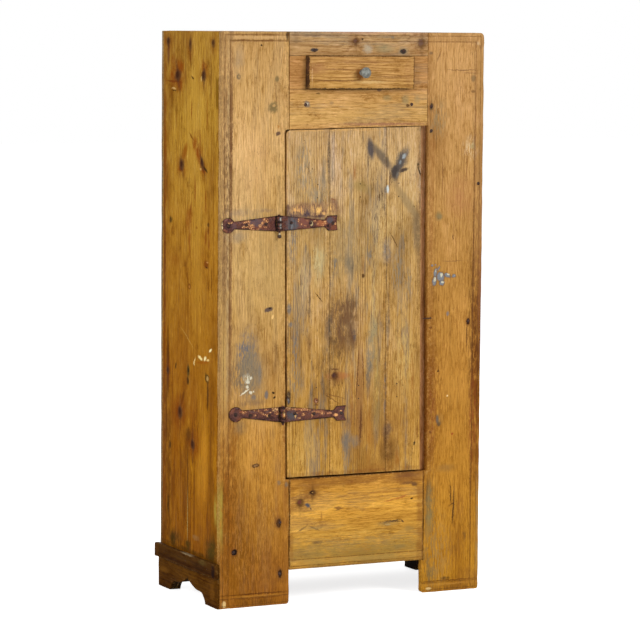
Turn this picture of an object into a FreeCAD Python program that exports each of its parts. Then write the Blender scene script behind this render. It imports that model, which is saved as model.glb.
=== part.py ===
import FreeCAD, Part
import os
import re

import Sketcher
from FreeCAD import Vector

# A country jelly cupboard in old pine: a carcass of sawn boards with one strap-hinged plank door, a small
# drawer above it, an apron panel below it and bracket feet at the sides.
# Frame: +Z up, +Y to the back, +X to the right when facing the door, origin on the floor at the middle of
# the whole outline. All sizes are millimetres.

doc = FreeCAD.newDocument("jelly_cupboard")
sheet = doc.addObject("Spreadsheet::Sheet", "cab")

SIZES = {
    # carcass
    "carcass_width": 777,
    "carcass_depth": 400,
    "carcass_height": 1520,
    "frame_thickness": 20,
    "side_thickness": 26,
    "back_thickness": 12,
    "back_bottom": 60,
    "plank_gap": 2,
    "wood_joint": 0.2,
    # the inner edges of the two stiles lean a little, so each has a width at its top and at its foot
    "left_stile_head": 193.5,
    "left_stile_foot": 203.5,
    "right_stile_head": 172,
    "right_stile_foot": 169.5,
    "right_foot_shoulder": 6,
    "left_notch_head": 12,
    "left_notch_sill": 10,
    "right_notch_head": 2.5,
    "right_notch_sill": 7.5,
    "notch_corner": 8,
    # levels up the front
    "panel_bottom": 91,
    "panel_top": 336,
    "panel_setback": 1.5,
    "upper_rail_height": 63,
    "drawer_opening_height": 88,
    "lower_rail_left_height": 106,
    "lower_rail_right_height": 98,
    "left_filler_width": 48.6,
    "right_filler_width": 48.7,
    "left_joint": 0.8,
    # boards inside
    "shelf_thickness": 18,
    "lower_bay_height": 300,
    "middle_bay_height": 286,
    "shelf_setback": 25,
    "cleat_height": 25,
    "cleat_thickness": 20,
    "apron_cleat_width": 84,
    "stop_thickness": 18,
    "stop_lap": 7,
    "stop_seat": 28,
    "stop_rise": 129,
    # bracket feet
    "facing_thickness": 6,
    "facing_height": 80,
    "batten_thickness": 12,
    "batten_height": 40,
    "batten_rear_overhang": 14,
    "batten_end_radius": 8,
    "right_base_setback": 28,
    "arch_half_width": 118,
    "arch_shoulder_half_width": 84,
    "arch_shoulder": 29,
    "arch_apex": 54,
    "arch_bow": 7,
    # door
    "door_thickness": 19.5,
    "door_hinge_gap": 4.5,
    "door_latch_gap": 21,
    "door_sill_gap": 4,
    "door_head_gap": 2.5,
    "left_plank_width": 126,
    "right_plank_width": 104.6,
    "door_plank_gap": 0.4,
    "door_batten_height": 70,
    "door_batten_thickness": 18,
    "door_batten_margin": 34,
    "door_nail_inset": 50,
    "lower_batten_rise": 220,
    "upper_batten_drop": 163,
    # drawer
    "drawer_front_thickness": 22,
    "drawer_front_proud": 18,
    "drawer_gap": 1,
    "drawer_side_gap": 2,
    "slide_gap": 0.4,
    "drawer_stop_gap": 0.5,
    "drawer_side_thickness": 12,
    "drawer_side_height": 80,
    "drawer_bottom_thickness": 8,
    "drawer_bottom_lift": 4,
    "runner_width": 42,
    "runner_depth": 55,
    "runner_lip_width": 21.5,
    "runner_lip_height": 20,
    "kicker_width": 36,
    "kicker_height": 24,
    "kicker_inset": 7.5,
    # knob
    "knob_projection": 32,
    "knob_diameter": 29,
    "knob_head_height": 19,
    "knob_head_bow": 2.4,
    "knob_stem_diameter": 11,
    "knob_foot_diameter": 17,
    "screw_diameter": 4,
    "screw_head_diameter": 9,
    "screw_slot_diameter": 6,
    "screw_depth_in_knob": 16,
    # strap hinges
    "upper_hinge_drop": 246,
    "upper_hinge_inset": 31.3,
    "lower_hinge_rise": 170,
    "lower_hinge_inset": 17.3,
    "barrel_diameter": 13,
    "barrel_gap": 0.5,
    "barrel_end_gap": 0.5,
    "pin_diameter": 6,
    "pin_gap": 0.2,
    "pin_tail": 7,
    "pin_tip_diameter": 3.6,
    "pin_head_diameter": 8,
    "finial_diameter": 11,
    "leaf_thickness": 3,
    "leaf_relief": 0.35,
    "knuckle_height": 42,
    "frame_leaf_neck": 19,
    "door_leaf_neck": 19,
    "bulb_diameter": 40,
    "bulb_shoulder": 14,
    "upper_frame_leaf_reach": 165,
    "upper_door_leaf_reach": 173,
    "upper_door_leaf_rise": -6,
    "upper_frame_leaf_rise": 1,
    "lower_frame_leaf_reach": 154,
    "lower_door_leaf_reach": 189,
    "lower_door_leaf_rise": -9,
    "lower_frame_leaf_rise": 10,
    "flare_length": 28,
    "flare_height": 40,
    "near_leaf_nail": 37,
    "middle_leaf_nail": 93,
    # nails
    "nail_head_diameter": 9,
    "nail_head_height": 1.6,
    "nail_shank_diameter": 4,
    "small_nail_proud": 0.4,
    "nail_length": 36,
    "short_nail_length": 17,
    "nail_edge": 14,
    "batten_nail_head": 5,
    "stop_nail_inset": 18,
    "stop_nail_rise": 51,
    "side_nail_drop": 150,
    "apron_nail_inset": 28,
    "apron_nail_drop": 114,
    "foot_nail_drop": 8,
    "outer_nail_inset": 40,
    "left_outer_nail_rise": 59,
    "right_outer_nail_rise": 86,
    "base_nail_spacing": 144,
    "base_nail_length": 28,
    "back_nail_length": 36,
    "batten_nail_length": 32,
    "catch_wire_diameter": 3,
    "catch_rise": 412,
    "catch_reach": 26,
    "catch_offset": 6,
    "catch_stand": 7,
}

for row, (name, value) in enumerate(SIZES.items(), start=1):
    sheet.set(f"A{row}", str(value))
    sheet.setAlias(f"A{row}", name)
doc.recompute()


def cell(word):
    return f"cab.{word.group()}" if word.group() in SIZES else word.group()


def bound(text):
    """The same expression with each size's name pointing at its cell."""
    return re.sub(r"[a-z_]+", cell, text)


def number(text):
    """The value that an expression has now, for a sketch's first guess and for choices in code."""
    return float(sheet.evalExpression(bound(text)))


# Lines that several pieces share, each worked out from the sizes above.
KNOB_REACH = "(drawer_front_proud + knob_projection)"
FRONT = f"(({KNOB_REACH} - carcass_depth - batten_rear_overhang) / 2)"
FRAME_BACK = f"({FRONT} + frame_thickness)"
BACK = f"({FRONT} + carcass_depth)"
BACK_PLANK_FRONT = f"({BACK} - back_thickness)"
OUTER = "(carcass_width / 2)"
INNER = "(carcass_width / 2 - side_thickness)"
INSIDE_WIDTH = f"(2 * {INNER} - 2 * wood_joint)"
SHELF_FRONT = f"({FRAME_BACK} + shelf_setback)"
DOOR_BACK = f"({FRONT} + door_thickness)"
HINGE_AXIS_Y = f"({FRONT} - barrel_diameter / 2 - barrel_gap)"


def along(foot, head, level):
    """A width at one level of an edge that runs straight from the floor to the top of the carcass."""
    return f"({foot} + ({head} - {foot}) * ({level}) / carcass_height)"


def left_edge(level):
    return f"(-{OUTER} + {along('left_stile_foot', 'left_stile_head', level)})"


def right_edge(level):
    return f"({OUTER} - {along('right_stile_foot', 'right_stile_head', level)})"


DRAWER_TOP = "(carcass_height - upper_rail_height)"
DRAWER_SILL = f"({DRAWER_TOP} - drawer_opening_height)"
RAIL_BOTTOM_LEFT = f"({DRAWER_SILL} - lower_rail_left_height)"
RAIL_BOTTOM_RIGHT = f"({DRAWER_SILL} - lower_rail_right_height)"
LEFT_GUIDE = f"({left_edge(DRAWER_TOP)} + left_filler_width)"
RIGHT_GUIDE = f"({right_edge(DRAWER_TOP)} - right_filler_width)"
OPENING_MIDDLE = f"(({LEFT_GUIDE} + {RIGHT_GUIDE}) / 2)"
LOWER_SHELF_LEVEL = "(panel_top + lower_bay_height)"
UPPER_SHELF_LEVEL = f"({LOWER_SHELF_LEVEL} + shelf_thickness + middle_bay_height)"


def rail_bottom(x):
    """Level of the lower rail's bottom edge at x: it rises from one stile to the other."""
    left_end = left_edge(RAIL_BOTTOM_LEFT)
    slope = f"({RAIL_BOTTOM_RIGHT} - {RAIL_BOTTOM_LEFT}) / ({right_edge(RAIL_BOTTOM_RIGHT)} - {left_end})"
    return f"({RAIL_BOTTOM_LEFT} + (({x}) - {left_end}) * {slope})"


NOTCH_LEFT_HEAD = f"({left_edge(RAIL_BOTTOM_LEFT)} - left_notch_head)"
NOTCH_LEFT_SILL = f"({left_edge('panel_top')} - left_notch_sill)"
NOTCH_RIGHT_HEAD = f"({right_edge(RAIL_BOTTOM_RIGHT)} + right_notch_head)"
NOTCH_RIGHT_SILL = f"({right_edge('panel_top')} + right_notch_sill)"
DOOR_SILL = "(panel_top + door_sill_gap)"
DOOR_LEFT_HEAD = f"({NOTCH_LEFT_HEAD} + door_hinge_gap)"
DOOR_LEFT_SILL = f"({NOTCH_LEFT_SILL} + door_hinge_gap)"
DOOR_RIGHT_HEAD = f"({NOTCH_RIGHT_HEAD} - door_latch_gap)"
DOOR_RIGHT_SILL = f"({NOTCH_RIGHT_SILL} - door_latch_gap)"

# Both pins lie on one line, which leans a little. Their x is measured from the foot of the hinged edge.
HINGE_X = {
    "upper": f"({DOOR_LEFT_SILL} - upper_hinge_inset)",
    "lower": f"({DOOR_LEFT_SILL} - lower_hinge_inset)",
}
HINGE_LEVEL = {
    "upper": f"({RAIL_BOTTOM_LEFT} - upper_hinge_drop)",
    "lower": f"({DOOR_SILL} + lower_hinge_rise)",
}
HINGE_LEAN = (f"atan(({HINGE_X['lower']} - {HINGE_X['upper']})"
              f" / ({HINGE_LEVEL['upper']} - {HINGE_LEVEL['lower']}))")


# ---------------------------------------------------------------- building blocks

def place(item, x="0", y="0", z="0"):
    item.setExpression(".Placement.Base.x", bound(x))
    item.setExpression(".Placement.Base.y", bound(y))
    item.setExpression(".Placement.Base.z", bound(z))


def board(label, x, y, z, length, width, height):
    """A plain sawn board from its low corner and its sizes along X, Y and Z."""
    box = doc.addObject("Part::Box", label)
    box.Label = label
    box.setExpression("Length", bound(length))
    box.setExpression("Width", bound(width))
    box.setExpression("Height", bound(height))
    place(box, x, y, z)
    return box


def new_body(label):
    body = doc.addObject("PartDesign::Body", label)
    body.Label = label
    return body


def new_sketch(body, role, name):
    sketch = body.newObject("Sketcher::SketchObject", name)
    plane = next(item for item in body.Origin.OriginFeatures if item.Role == role)
    sketch.AttachmentSupport = [(plane, "")]
    sketch.MapMode = "FlatFace"
    return sketch


def hold(sketch, kind, geometry, point, text):
    """Bind one coordinate of a sketch point, measured from the sketch's origin."""
    index = sketch.addConstraint(Sketcher.Constraint(kind, -1, 1, geometry, point, number(text)))
    sketch.setExpression(f"Constraints[{index}]", bound(text))


def arc_between(start, end, radius, turn):
    """The minor arc from start to end, turning left (+1) or right (-1), and whether it is drawn reversed."""
    chord = end - start
    middle = (start + end) * 0.5
    normal = Vector(-chord.y, chord.x, 0)
    normal.normalize()
    height = max(radius ** 2 - (chord.Length / 2) ** 2, 0) ** 0.5
    centre = middle + normal * height * turn
    circle = Part.Circle(centre, Vector(0, 0, 1), radius)
    first, last = (start, end) if turn > 0 else (end, start)
    return Part.ArcOfCircle(circle, circle.parameter(first), circle.parameter(last)), turn < 0


def outline(sketch, corners):
    """A closed outline. Each corner is (x, y) or (x, y, radius, turn): then an arc leaves it for the next."""
    points = [Vector(number(corner[0]), number(corner[1]), 0) for corner in corners]
    ends = []
    for place_in_row, corner in enumerate(corners):
        start = points[place_in_row]
        end = points[(place_in_row + 1) % len(points)]
        reversed_arc = False
        if len(corner) == 4:
            edge, reversed_arc = arc_between(start, end, number(corner[2]), corner[3])
        else:
            edge = Part.LineSegment(start, end)
        geometry = sketch.addGeometry(edge, False)
        ends.append((geometry, 2, 1) if reversed_arc else (geometry, 1, 2))
        if len(corner) == 4:
            index = sketch.addConstraint(Sketcher.Constraint("Radius", geometry, number(corner[2])))
            sketch.setExpression(f"Constraints[{index}]", bound(corner[2]))
    for place_in_row, (geometry, start, end) in enumerate(ends):
        following = ends[(place_in_row + 1) % len(ends)]
        sketch.addConstraint(Sketcher.Constraint("Coincident", geometry, end, following[0], following[1]))
        hold(sketch, "DistanceX", geometry, start, corners[place_in_row][0])
        hold(sketch, "DistanceY", geometry, start, corners[place_in_row][1])


def circle(sketch, x, y, radius):
    centre = Vector(number(x), number(y), 0)
    geometry = sketch.addGeometry(Part.Circle(centre, Vector(0, 0, 1), number(radius)), False)
    index = sketch.addConstraint(Sketcher.Constraint("Radius", geometry, number(radius)))
    sketch.setExpression(f"Constraints[{index}]", bound(radius))
    hold(sketch, "DistanceX", geometry, 3, x)
    hold(sketch, "DistanceY", geometry, 3, y)


def pad(body, sketch, length, reversed_side=False, refine=True):
    feature = body.newObject("PartDesign::Pad", f"{sketch.Name}_pad")
    feature.Profile = sketch
    feature.Reversed = reversed_side
    feature.Refine = refine
    feature.setExpression("Length", bound(length))
    return feature


def cut(body, sketch, length, reversed_side=False, refine=True):
    """A pocket that has to take material away."""
    doc.recompute()
    before = body.Shape.Volume
    feature = body.newObject("PartDesign::Pocket", f"{sketch.Name}_pocket")
    feature.Profile = sketch
    feature.Reversed = reversed_side
    feature.Refine = refine
    feature.setExpression("Length", bound(length))
    doc.recompute()
    if body.Shape.Volume >= before:
        raise RuntimeError(f"{feature.Name} cuts nothing")
    return feature


def round_edges(body, radius, wanted):
    """Fillet the edges of the body's last feature whose middle point passes the test."""
    doc.recompute()
    base = body.Tip
    names = []
    for index, edge in enumerate(base.Shape.Edges, start=1):
        middle = edge.valueAt((edge.FirstParameter + edge.LastParameter) / 2)
        direction = edge.tangentAt(edge.FirstParameter)
        if wanted(middle, direction):
            names.append(f"Edge{index}")
    feature = body.newObject("PartDesign::Fillet", f"{body.Name}_rounding")
    feature.Base = (base, names)
    feature.setExpression("Radius", bound(radius))
    return feature


def front_board(label, corners, thickness="frame_thickness", y=FRONT):
    """A board of the front: its outline as seen from the front, and its thickness towards the back."""
    body = new_body(label)
    sketch = new_sketch(body, "XZ_Plane", f"{label}_outline")
    outline(sketch, corners)
    pad(body, sketch, thickness, reversed_side=True)
    place(body, y=y)
    return body


def arc_radius(run, rise, bow):
    """Radius of an arc that stands off its chord by bow."""
    return f"((({run}) ^ 2 + ({rise}) ^ 2) / (8 * {bow}) + {bow} / 2)"


# ---------------------------------------------------------------- sides and bracket feet

ARCH_MIDDLE = f"({FRONT} + carcass_depth / 2)"
FOOT_ARC = arc_radius("arch_half_width - arch_shoulder_half_width", "arch_shoulder", "arch_bow")
KEEL_ARC = arc_radius("arch_shoulder_half_width", "arch_apex - arch_shoulder", "arch_bow")


def arched(front, back, top):
    """A side outline: feet front and back, and between them an arch that comes to a point."""
    return [
        (front, "0"),
        (f"{ARCH_MIDDLE} - arch_half_width", "0", FOOT_ARC, -1),
        (f"{ARCH_MIDDLE} - arch_shoulder_half_width", "arch_shoulder", KEEL_ARC, 1),
        (ARCH_MIDDLE, "arch_apex", KEEL_ARC, 1),
        (f"{ARCH_MIDDLE} + arch_shoulder_half_width", "arch_shoulder", FOOT_ARC, -1),
        (f"{ARCH_MIDDLE} + arch_half_width", "0"),
        (back, "0"),
        (back, top),
        (front, top),
    ]


def side_plate(label, corners, x, thickness):
    body = new_body(label)
    sketch = new_sketch(body, "YZ_Plane", f"{label}_outline")
    outline(sketch, corners)
    pad(body, sketch, thickness)
    place(body, x=x)
    return body


def base_batten(label, x, front):
    """The heavy batten over the joint of side and foot, its ends rounded off."""
    body = new_body(label)
    sketch = new_sketch(body, "YZ_Plane", f"{label}_outline")
    back = f"({BACK} + batten_rear_overhang)"
    outline(sketch, [
        (front, "facing_height"),
        (back, "facing_height"),
        (back, "facing_height + batten_height"),
        (front, "facing_height + batten_height"),
    ])
    pad(body, sketch, "batten_thickness")
    top = number("facing_height + batten_height")
    round_edges(body, "batten_end_radius", lambda middle, direction: (
        abs(direction.x) > 0.99 and abs(middle.z - top) < 0.01))
    place(body, x=x)
    return body


side_outline = arched(FRAME_BACK, BACK_PLANK_FRONT, "carcass_height")
side_plate("left_side_board", side_outline, f"-{OUTER}", "side_thickness")
side_plate("right_side_board", side_outline, INNER, "side_thickness")
side_plate("left_base_facing", arched(FRONT, BACK, "facing_height"),
           f"-{OUTER} - facing_thickness", "facing_thickness")
side_plate("right_base_facing", arched(f"{FRONT} + right_base_setback", BACK, "facing_height"),
           OUTER, "facing_thickness")
base_batten("left_base_batten", f"-{OUTER} - batten_thickness", FRONT)
base_batten("right_base_batten", OUTER, f"({FRONT} + right_base_setback)")

# ---------------------------------------------------------------- front frame

front_board("left_stile", [
    (f"-{OUTER}", "0"),
    (left_edge("0"), "0"),
    (left_edge("panel_top"), "panel_top"),
    (NOTCH_LEFT_SILL, "panel_top"),
    (NOTCH_LEFT_HEAD, f"{RAIL_BOTTOM_LEFT} - notch_corner", "notch_corner * 1.25", -1),
    (left_edge(RAIL_BOTTOM_LEFT), RAIL_BOTTOM_LEFT),
    (left_edge("carcass_height"), "carcass_height"),
    (f"-{OUTER}", "carcass_height"),
])
front_board("right_stile", [
    (f"{right_edge('0')} - right_foot_shoulder", "0"),
    (OUTER, "0"),
    (OUTER, "carcass_height"),
    (right_edge("carcass_height"), "carcass_height"),
    (right_edge(RAIL_BOTTOM_RIGHT), RAIL_BOTTOM_RIGHT),
    (NOTCH_RIGHT_HEAD, RAIL_BOTTOM_RIGHT),
    (NOTCH_RIGHT_SILL, "panel_top"),
    (right_edge("panel_top"), "panel_top"),
    (right_edge("panel_bottom"), "panel_bottom"),
    (f"{right_edge('panel_bottom')} - right_foot_shoulder", "panel_bottom"),
])


def across(label, low_left, low_right, high, y=FRONT, thickness="frame_thickness"):
    """A board between the stiles, cut to their leaning edges."""
    return front_board(label, [
        (f"{left_edge(low_left)} + left_joint", low_left),
        (f"{right_edge(low_right)} - wood_joint", low_right),
        (f"{right_edge(high)} - wood_joint", high),
        (f"{left_edge(high)} + left_joint", high),
    ], thickness, y)


across("upper_rail", DRAWER_TOP, DRAWER_TOP, "carcass_height")
across("lower_rail", RAIL_BOTTOM_LEFT, RAIL_BOTTOM_RIGHT, DRAWER_SILL)
across("lower_panel", "panel_bottom", "panel_bottom", "panel_top",
       f"({FRONT} + panel_setback)", "frame_thickness - panel_setback")
front_board("left_drawer_filler", [
    (f"{left_edge(DRAWER_SILL)} + left_joint", DRAWER_SILL),
    (LEFT_GUIDE, DRAWER_SILL),
    (LEFT_GUIDE, DRAWER_TOP),
    (f"{left_edge(DRAWER_TOP)} + left_joint", DRAWER_TOP),
])
front_board("right_drawer_filler", [
    (RIGHT_GUIDE, DRAWER_SILL),
    (f"{right_edge(DRAWER_SILL)} - wood_joint", DRAWER_SILL),
    (f"{right_edge(DRAWER_TOP)} - wood_joint", DRAWER_TOP),
    (RIGHT_GUIDE, DRAWER_TOP),
])

# ---------------------------------------------------------------- inside boards

INSIDE_LEFT = f"(-{INNER} + wood_joint)"
INSIDE_DEPTH = f"({BACK_PLANK_FRONT} - {FRAME_BACK})"
SHELF_DEPTH = f"({BACK_PLANK_FRONT} - {SHELF_FRONT})"
FLOOR_BOTTOM = "(panel_top - shelf_thickness)"

board("top_board", INSIDE_LEFT, FRAME_BACK, "carcass_height - frame_thickness",
      INSIDE_WIDTH, INSIDE_DEPTH, "frame_thickness")
board("floor_board", INSIDE_LEFT, FRAME_BACK, FLOOR_BOTTOM,
      INSIDE_WIDTH, INSIDE_DEPTH, "shelf_thickness")
SHELVES = {"lower_shelf": LOWER_SHELF_LEVEL, "upper_shelf": UPPER_SHELF_LEVEL}
for name, level in SHELVES.items():
    board(name, INSIDE_LEFT, SHELF_FRONT, level, INSIDE_WIDTH, SHELF_DEPTH, "shelf_thickness")

for name, level in {"floor": FLOOR_BOTTOM, **SHELVES}.items():
    board(f"left_{name}_cleat", f"-{INNER}", SHELF_FRONT, f"{level} - cleat_height",
          "cleat_thickness", SHELF_DEPTH, "cleat_height")
    board(f"right_{name}_cleat", f"{INNER} - cleat_thickness", SHELF_FRONT, f"{level} - cleat_height",
          "cleat_thickness", SHELF_DEPTH, "cleat_height")

APRON_CLEAT_HEIGHT = f"({FLOOR_BOTTOM} - panel_bottom)"
board("left_apron_cleat", f"{left_edge('panel_top')} - apron_cleat_width / 2", FRAME_BACK, "panel_bottom",
      "apron_cleat_width", "cleat_thickness", APRON_CLEAT_HEIGHT)
board("right_apron_cleat", f"{right_edge('panel_top')} - apron_cleat_width / 2", FRAME_BACK, "panel_bottom",
      "apron_cleat_width", "cleat_thickness", APRON_CLEAT_HEIGHT)

STOP_LEFT = f"({DOOR_RIGHT_HEAD} - stop_lap)"
STOP_WIDTH = f"({right_edge('panel_top')} + stop_seat - {STOP_LEFT})"
STOP_TOP = f"({RAIL_BOTTOM_RIGHT} + stop_rise)"
board("door_stop", STOP_LEFT, FRAME_BACK, "panel_top",
      STOP_WIDTH, "stop_thickness", f"{STOP_TOP} - panel_top")

# ---------------------------------------------------------------- drawer runners and kickers

def runner(label, guide, outward):
    """A runner with a raised lip on its outer side, which guides the drawer. outward is - or +."""
    body = new_body(label)
    sketch = new_sketch(body, "XZ_Plane", f"{label}_section")
    lip_outside = f"{guide} {outward} runner_lip_width"
    inside = f"{lip_outside} {'+' if outward == '-' else '-'} runner_width"
    corners = [
        (lip_outside, f"{DRAWER_SILL} - runner_depth"),
        (inside, f"{DRAWER_SILL} - runner_depth"),
        (inside, DRAWER_SILL),
        (guide, DRAWER_SILL),
        (guide, f"{DRAWER_SILL} + runner_lip_height"),
        (lip_outside, f"{DRAWER_SILL} + runner_lip_height"),
    ]
    outline(sketch, corners)
    pad(body, sketch, INSIDE_DEPTH, reversed_side=True)
    place(body, y=FRAME_BACK)
    return body


runner("left_drawer_runner", LEFT_GUIDE, "-")
runner("right_drawer_runner", RIGHT_GUIDE, "+")
LEFT_KICKER_MIDDLE = f"({LEFT_GUIDE} + kicker_width / 2 + kicker_inset)"
RIGHT_KICKER_MIDDLE = f"({RIGHT_GUIDE} - kicker_width / 2 - kicker_inset)"
board("left_drawer_kicker", f"{LEFT_KICKER_MIDDLE} - kicker_width / 2", FRAME_BACK, DRAWER_TOP,
      "kicker_width", INSIDE_DEPTH, "kicker_height")
board("right_drawer_kicker", f"{RIGHT_KICKER_MIDDLE} - kicker_width / 2", FRAME_BACK, DRAWER_TOP,
      "kicker_width", INSIDE_DEPTH, "kicker_height")

# ---------------------------------------------------------------- back

BACK_PLANKS = 4
BACK_PLANK_WIDTH = f"((carcass_width - {BACK_PLANKS - 1} * plank_gap) / {BACK_PLANKS})"
BACK_PLANK_MIDDLES = []
for index in range(BACK_PLANKS):
    low_side = f"(-{OUTER} + {index} * ({BACK_PLANK_WIDTH} + plank_gap))"
    BACK_PLANK_MIDDLES.append(f"({low_side} + {BACK_PLANK_WIDTH} / 2)")
    board(f"back_plank_{index + 1}", low_side, BACK_PLANK_FRONT, "back_bottom",
          BACK_PLANK_WIDTH, "back_thickness", "carcass_height - back_bottom")

# ---------------------------------------------------------------- door

def from_hinged_edge(distance):
    """Bottom and top x of a line that lies this far in from the door's hinged edge."""
    return f"({DOOR_LEFT_SILL} + {distance})", f"({DOOR_LEFT_HEAD} + {distance})"


def from_free_edge(distance):
    return f"({DOOR_RIGHT_SILL} - ({distance}))", f"({DOOR_RIGHT_HEAD} - ({distance}))"


def door_plank(label, left, right):
    (left_low, left_high), (right_low, right_high) = left, right
    return front_board(label, [
        (left_low, DOOR_SILL),
        (right_low, DOOR_SILL),
        (right_high, f"{rail_bottom(right_high)} - door_head_gap"),
        (left_high, f"{rail_bottom(left_high)} - door_head_gap"),
    ], "door_thickness")


door_plank("left_door_plank", from_hinged_edge("0"), from_hinged_edge("left_plank_width"))
door_plank("middle_door_plank", from_hinged_edge("left_plank_width + door_plank_gap"),
           from_free_edge("right_plank_width + door_plank_gap"))
door_plank("right_door_plank", from_free_edge("right_plank_width"), from_free_edge("0"))

BATTEN_LEFT = f"({DOOR_LEFT_SILL} + door_batten_margin)"
BATTEN_RIGHT = f"({STOP_LEFT} - door_batten_margin)"
BATTEN_LEVELS = {
    "lower_door_batten": f"({DOOR_SILL} + lower_batten_rise)",
    "upper_door_batten": f"({RAIL_BOTTOM_LEFT} - upper_batten_drop)",
}
for name, level in BATTEN_LEVELS.items():
    board(name, BATTEN_LEFT, DOOR_BACK, f"{level} - door_batten_height / 2",
          f"{BATTEN_RIGHT} - {BATTEN_LEFT}", "door_batten_thickness", "door_batten_height")

# ---------------------------------------------------------------- drawer

DRAWER_LEFT = f"({LEFT_GUIDE} + drawer_side_gap)"
DRAWER_RIGHT = f"({RIGHT_GUIDE} - drawer_side_gap)"
DRAWER_BASE = f"({DRAWER_SILL} + slide_gap)"
FRONT_FACE = f"({FRONT} - drawer_front_proud)"
BOX_FRONT = f"({FRONT_FACE} + drawer_front_thickness)"
BOX_REAR = f"({BACK_PLANK_FRONT} - drawer_stop_gap)"
BOX_LENGTH = f"({BOX_REAR} - {BOX_FRONT})"
BOX_INSIDE_LEFT = f"({DRAWER_LEFT} + drawer_side_thickness)"
BOX_INSIDE = f"({DRAWER_RIGHT} - {DRAWER_LEFT} - 2 * drawer_side_thickness)"
FRONT_LOW = f"({DRAWER_SILL} + drawer_gap)"
FRONT_HIGH = f"({DRAWER_TOP} - drawer_gap)"
KNOB_LEVEL = f"(({FRONT_LOW} + {FRONT_HIGH}) / 2)"

drawer_front = front_board("drawer_front", [
    (f"{LEFT_GUIDE} + drawer_gap", FRONT_LOW),
    (f"{RIGHT_GUIDE} - drawer_gap", FRONT_LOW),
    (f"{RIGHT_GUIDE} - drawer_gap", FRONT_HIGH),
    (f"{LEFT_GUIDE} + drawer_gap", FRONT_HIGH),
], "drawer_front_thickness", FRONT_FACE)
screw_hole = new_sketch(drawer_front, "XZ_Plane", "drawer_front_screw_hole")
circle(screw_hole, OPENING_MIDDLE, KNOB_LEVEL, "screw_diameter / 2 + pin_gap")
cut(drawer_front, screw_hole, "drawer_front_thickness", reversed_side=False)

board("drawer_left_side", DRAWER_LEFT, BOX_FRONT, DRAWER_BASE,
      "drawer_side_thickness", BOX_LENGTH, "drawer_side_height")
board("drawer_right_side", f"{DRAWER_RIGHT} - drawer_side_thickness", BOX_FRONT, DRAWER_BASE,
      "drawer_side_thickness", BOX_LENGTH, "drawer_side_height")
DRAWER_FLOOR = f"({DRAWER_BASE} + drawer_bottom_lift)"
DRAWER_FLOOR_TOP = f"({DRAWER_FLOOR} + drawer_bottom_thickness)"
board("drawer_bottom", BOX_INSIDE_LEFT, BOX_FRONT, DRAWER_FLOOR,
      BOX_INSIDE, BOX_LENGTH, "drawer_bottom_thickness")
board("drawer_back", BOX_INSIDE_LEFT, f"{BOX_REAR} - drawer_side_thickness", DRAWER_FLOOR_TOP,
      BOX_INSIDE, "drawer_side_thickness",
      f"{DRAWER_BASE} + drawer_side_height - {DRAWER_FLOOR_TOP}")


def turned(label, corners, x, y, z):
    """A piece turned about a line that runs front to back: corners are (radius, distance along +Y)."""
    body = new_body(label)
    sketch = new_sketch(body, "XY_Plane", f"{label}_profile")
    outline(sketch, corners)
    feature = body.newObject("PartDesign::Revolution", f"{label}_turning")
    feature.Profile = sketch
    feature.ReferenceAxis = (sketch, ["V_Axis"])
    feature.Angle = 360
    place(body, x, y, z)
    return body


# The knob's profile runs from the drawer's face (0) to the front of its head (-knob_projection).
HEAD_BACK = "(-knob_projection + knob_head_height)"
HEAD_MIDDLE = "(-knob_projection + knob_head_height / 2)"
KNOB_RADIUS = "(knob_diameter / 2)"
CAP_RADIUS = f"(({KNOB_RADIUS} ^ 2 + (knob_head_height / 2) ^ 2) / knob_head_height)"
UNDER_RADIUS = arc_radius(f"{KNOB_RADIUS} - knob_stem_diameter / 2", "knob_head_height / 2",
                          "knob_head_bow")
knob = turned("drawer_knob", [
    ("0", "0"),
    ("0", "-knob_projection", CAP_RADIUS, 1),
    (KNOB_RADIUS, HEAD_MIDDLE, UNDER_RADIUS, 1),
    ("knob_stem_diameter / 2", HEAD_BACK),
    ("knob_stem_diameter / 2", f"{HEAD_BACK} / 2"),
    ("knob_foot_diameter / 2", "0"),
], OPENING_MIDDLE, FRONT_FACE, KNOB_LEVEL)
knob_bore = new_sketch(knob, "XZ_Plane", "drawer_knob_bore")
circle(knob_bore, "0", "0", "screw_diameter / 2 + pin_gap")
cut(knob, knob_bore, "screw_depth_in_knob + pin_gap", reversed_side=True)

turned("knob_screw", [
    ("0", "-drawer_front_thickness - screw_depth_in_knob"),
    ("screw_diameter / 2", "-drawer_front_thickness - screw_depth_in_knob"),
    ("screw_diameter / 2", "0"),
    ("screw_head_diameter / 2", "0"),
    ("screw_slot_diameter / 2", "screw_diameter / 2"),
    ("0", "screw_diameter / 2"),
], OPENING_MIDDLE, BOX_FRONT, KNOB_LEVEL)

# ---------------------------------------------------------------- strap hinges

BARREL_RADIUS = "(barrel_diameter / 2)"
BORE_RADIUS = "(pin_diameter / 2 + pin_gap)"
LEAF_BACK = f"({BARREL_RADIUS} + barrel_gap)"
LEAF_FRONT = f"({LEAF_BACK} - leaf_thickness)"
BARREL_THIRD = "(knuckle_height / 3)"
CLEAR_OF_BARREL = f"({BARREL_RADIUS} + barrel_end_gap)"


def place_on_hinge(item, hinge):
    """Put a piece, drawn about the pin's line, at its hinge and lean it with the common hinge line."""
    place(item, HINGE_X[hinge], HINGE_AXIS_Y, HINGE_LEVEL[hinge])
    item.Placement.Rotation = FreeCAD.Rotation(Vector(0, -1, 0), 0)
    item.setExpression(".Placement.Rotation.Angle", bound(HINGE_LEAN))


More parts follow.
